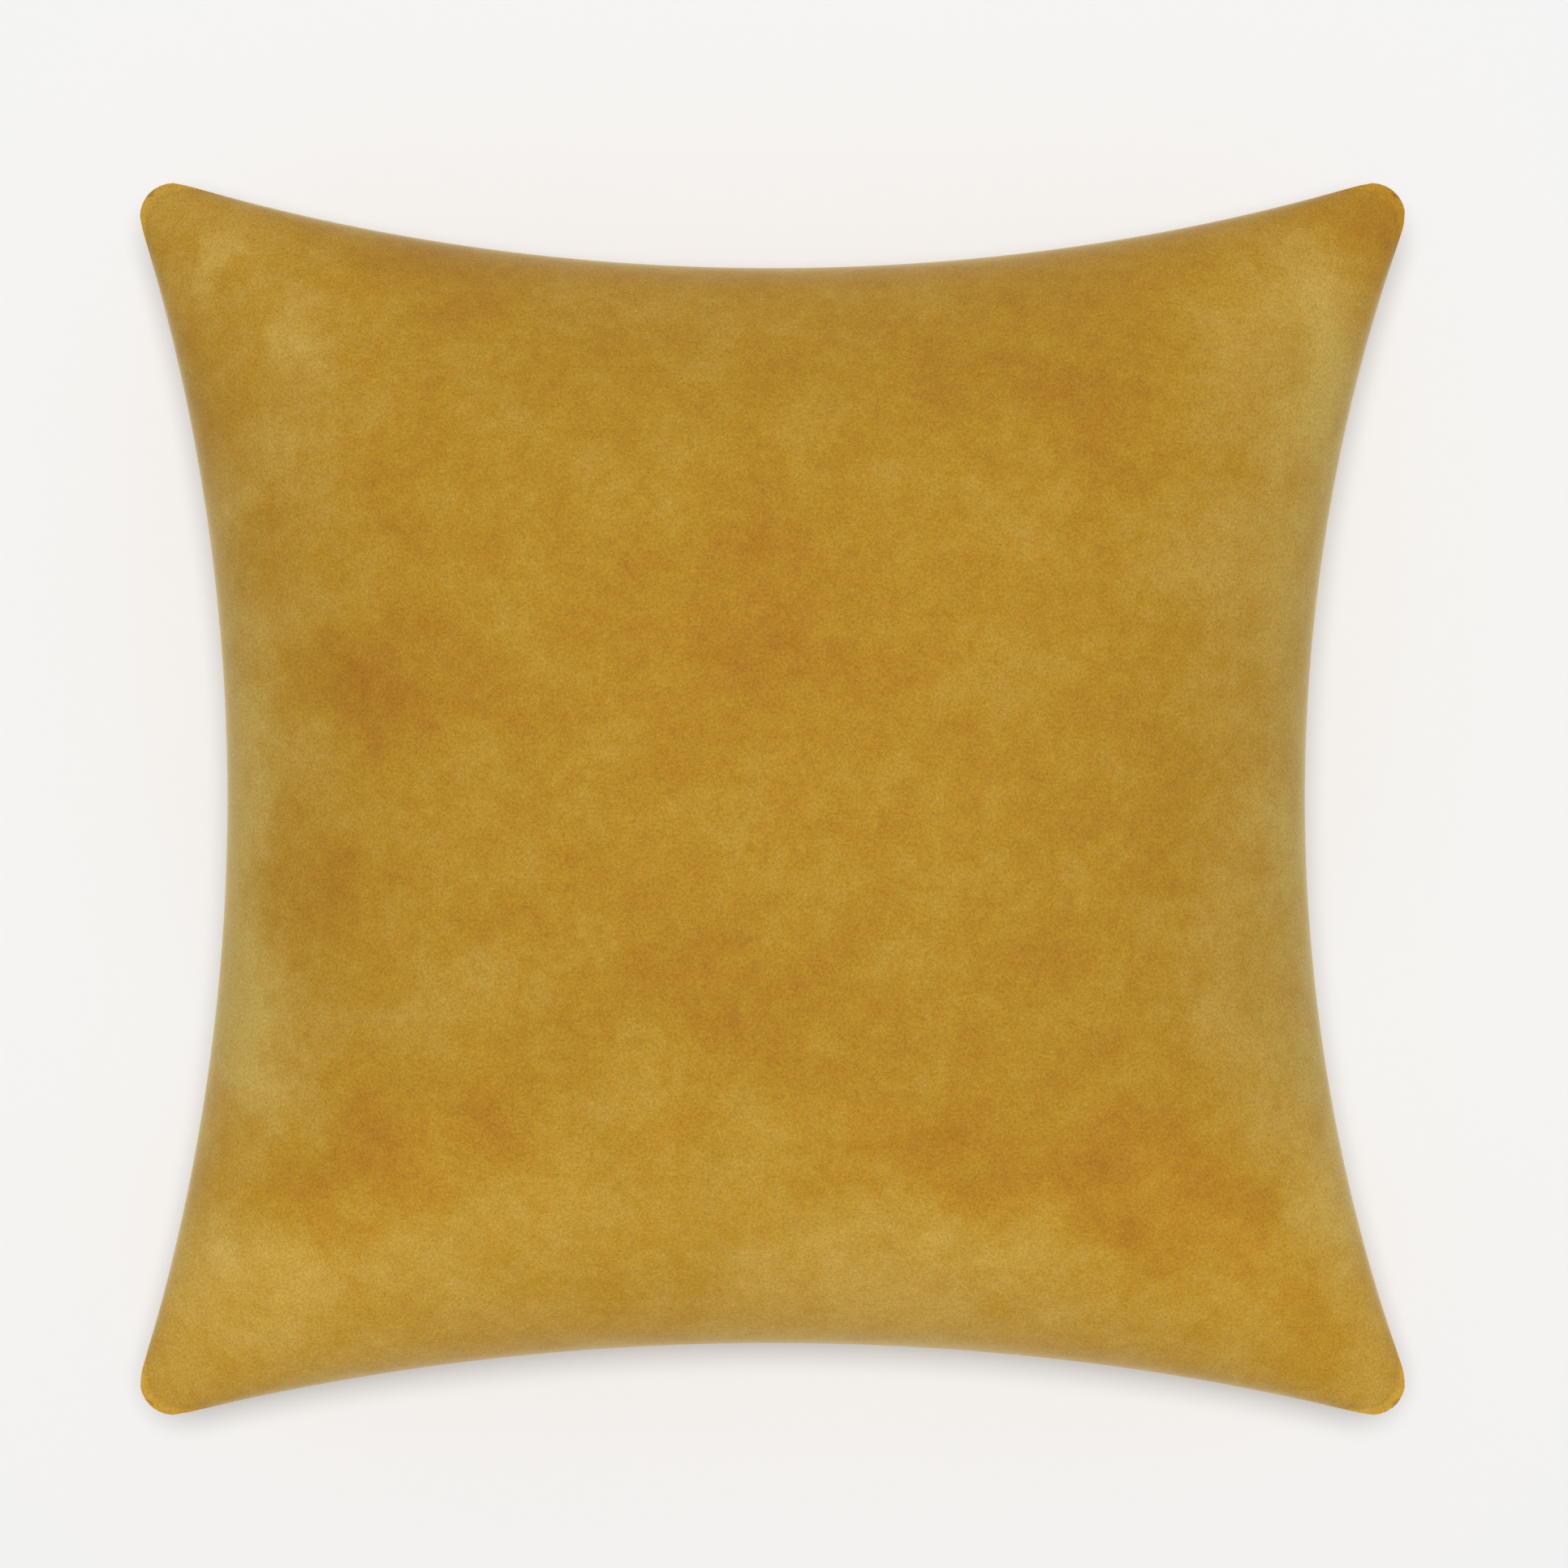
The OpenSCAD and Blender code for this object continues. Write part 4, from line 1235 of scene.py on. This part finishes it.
nylon = nylon_material()
plated = plated_material()
fibre = fibre_material()
for material, things in {
        velvet: (velvet_front, velvet_back, velvet_strip, velvet_hem),
        zip_tape: (tape_upper, tape_lower), nylon: (coil_upper, coil_lower),
        plated: (slider_body, pull_tab), pad_cotton: (casing_front, casing_back),
        fibre: (fill,), label_satin: (label,)}.items():
    for thing in things:
        dress(thing, material)

# %% Dress the CAD nodes that stay
KEPT = {cover_thread: ("seam_needle_thread", "seam_bobbin_thread", "seam_overlock",
                       "zip_stitching_upper", "zip_stitching_lower", "zip_bartacks"),
        pad_thread: ("pad_seam_thread", "pad_closing_thread"),
        plated: ("zip_top_stops", "zip_bottom_stop")}
for material, names in KEPT.items():
    for name in names:
        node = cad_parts[name]
        if not node.data.materials:
            node.data.materials.append(material)
        for i in range(len(node.data.materials)):
            node.data.materials[i] = material
for name, softness in (("zip_top_stops", 0.25 * MM), ("zip_bottom_stop", 0.25 * MM),
                       ("zip_bartacks", 0.15 * MM), ("zip_stitching_upper", 0.12 * MM),
                       ("zip_stitching_lower", 0.12 * MM)):
    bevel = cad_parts[name].modifiers.new("softened", "BEVEL")
    bevel.width = softness
    bevel.segments = 2
print(sum(len(names) for names in KEPT.values()), "CAD nodes dressed")

# %% [markdown]
# ## Pieces on their bodies
# Each piece rides on its body and stands for the CAD solid it was made over. The cover's panels
# and strip are sheets that were cut flat and are held stretched over the pad.

for piece, body, node, name in (
        (velvet_front, "cushion", "front_panel", "velvet"),
        (velvet_back, "cushion", "back_panel", "velvet"),
        (velvet_strip, "cushion", "back_strip", "velvet"),
        (velvet_hem, "cushion", None, "velvet"),
        (tape_upper, "cushion", "zip_tape_upper", "zip_tape"),
        (tape_lower, "cushion", "zip_tape_lower", "zip_tape"),
        (coil_upper, "cushion", "zip_coil_upper", "zip_coil"),
        (coil_lower, "cushion", "zip_coil_lower", "zip_coil"),
        (slider_body, "slider", "zip_slider", "zip_metal"),
        (pull_tab, "pull", "zip_pull", "zip_metal"),
        (label, "cushion", "care_label", "label_tape"),
        (casing_front, "cushion", "pad_front_panel", "pad_cotton"),
        (casing_back, "cushion", "pad_back_panel", "pad_cotton"),
        (fill, "cushion", "pad_fill", "fibre_fill")):
    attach(piece, body)
    if node:
        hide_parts(node)
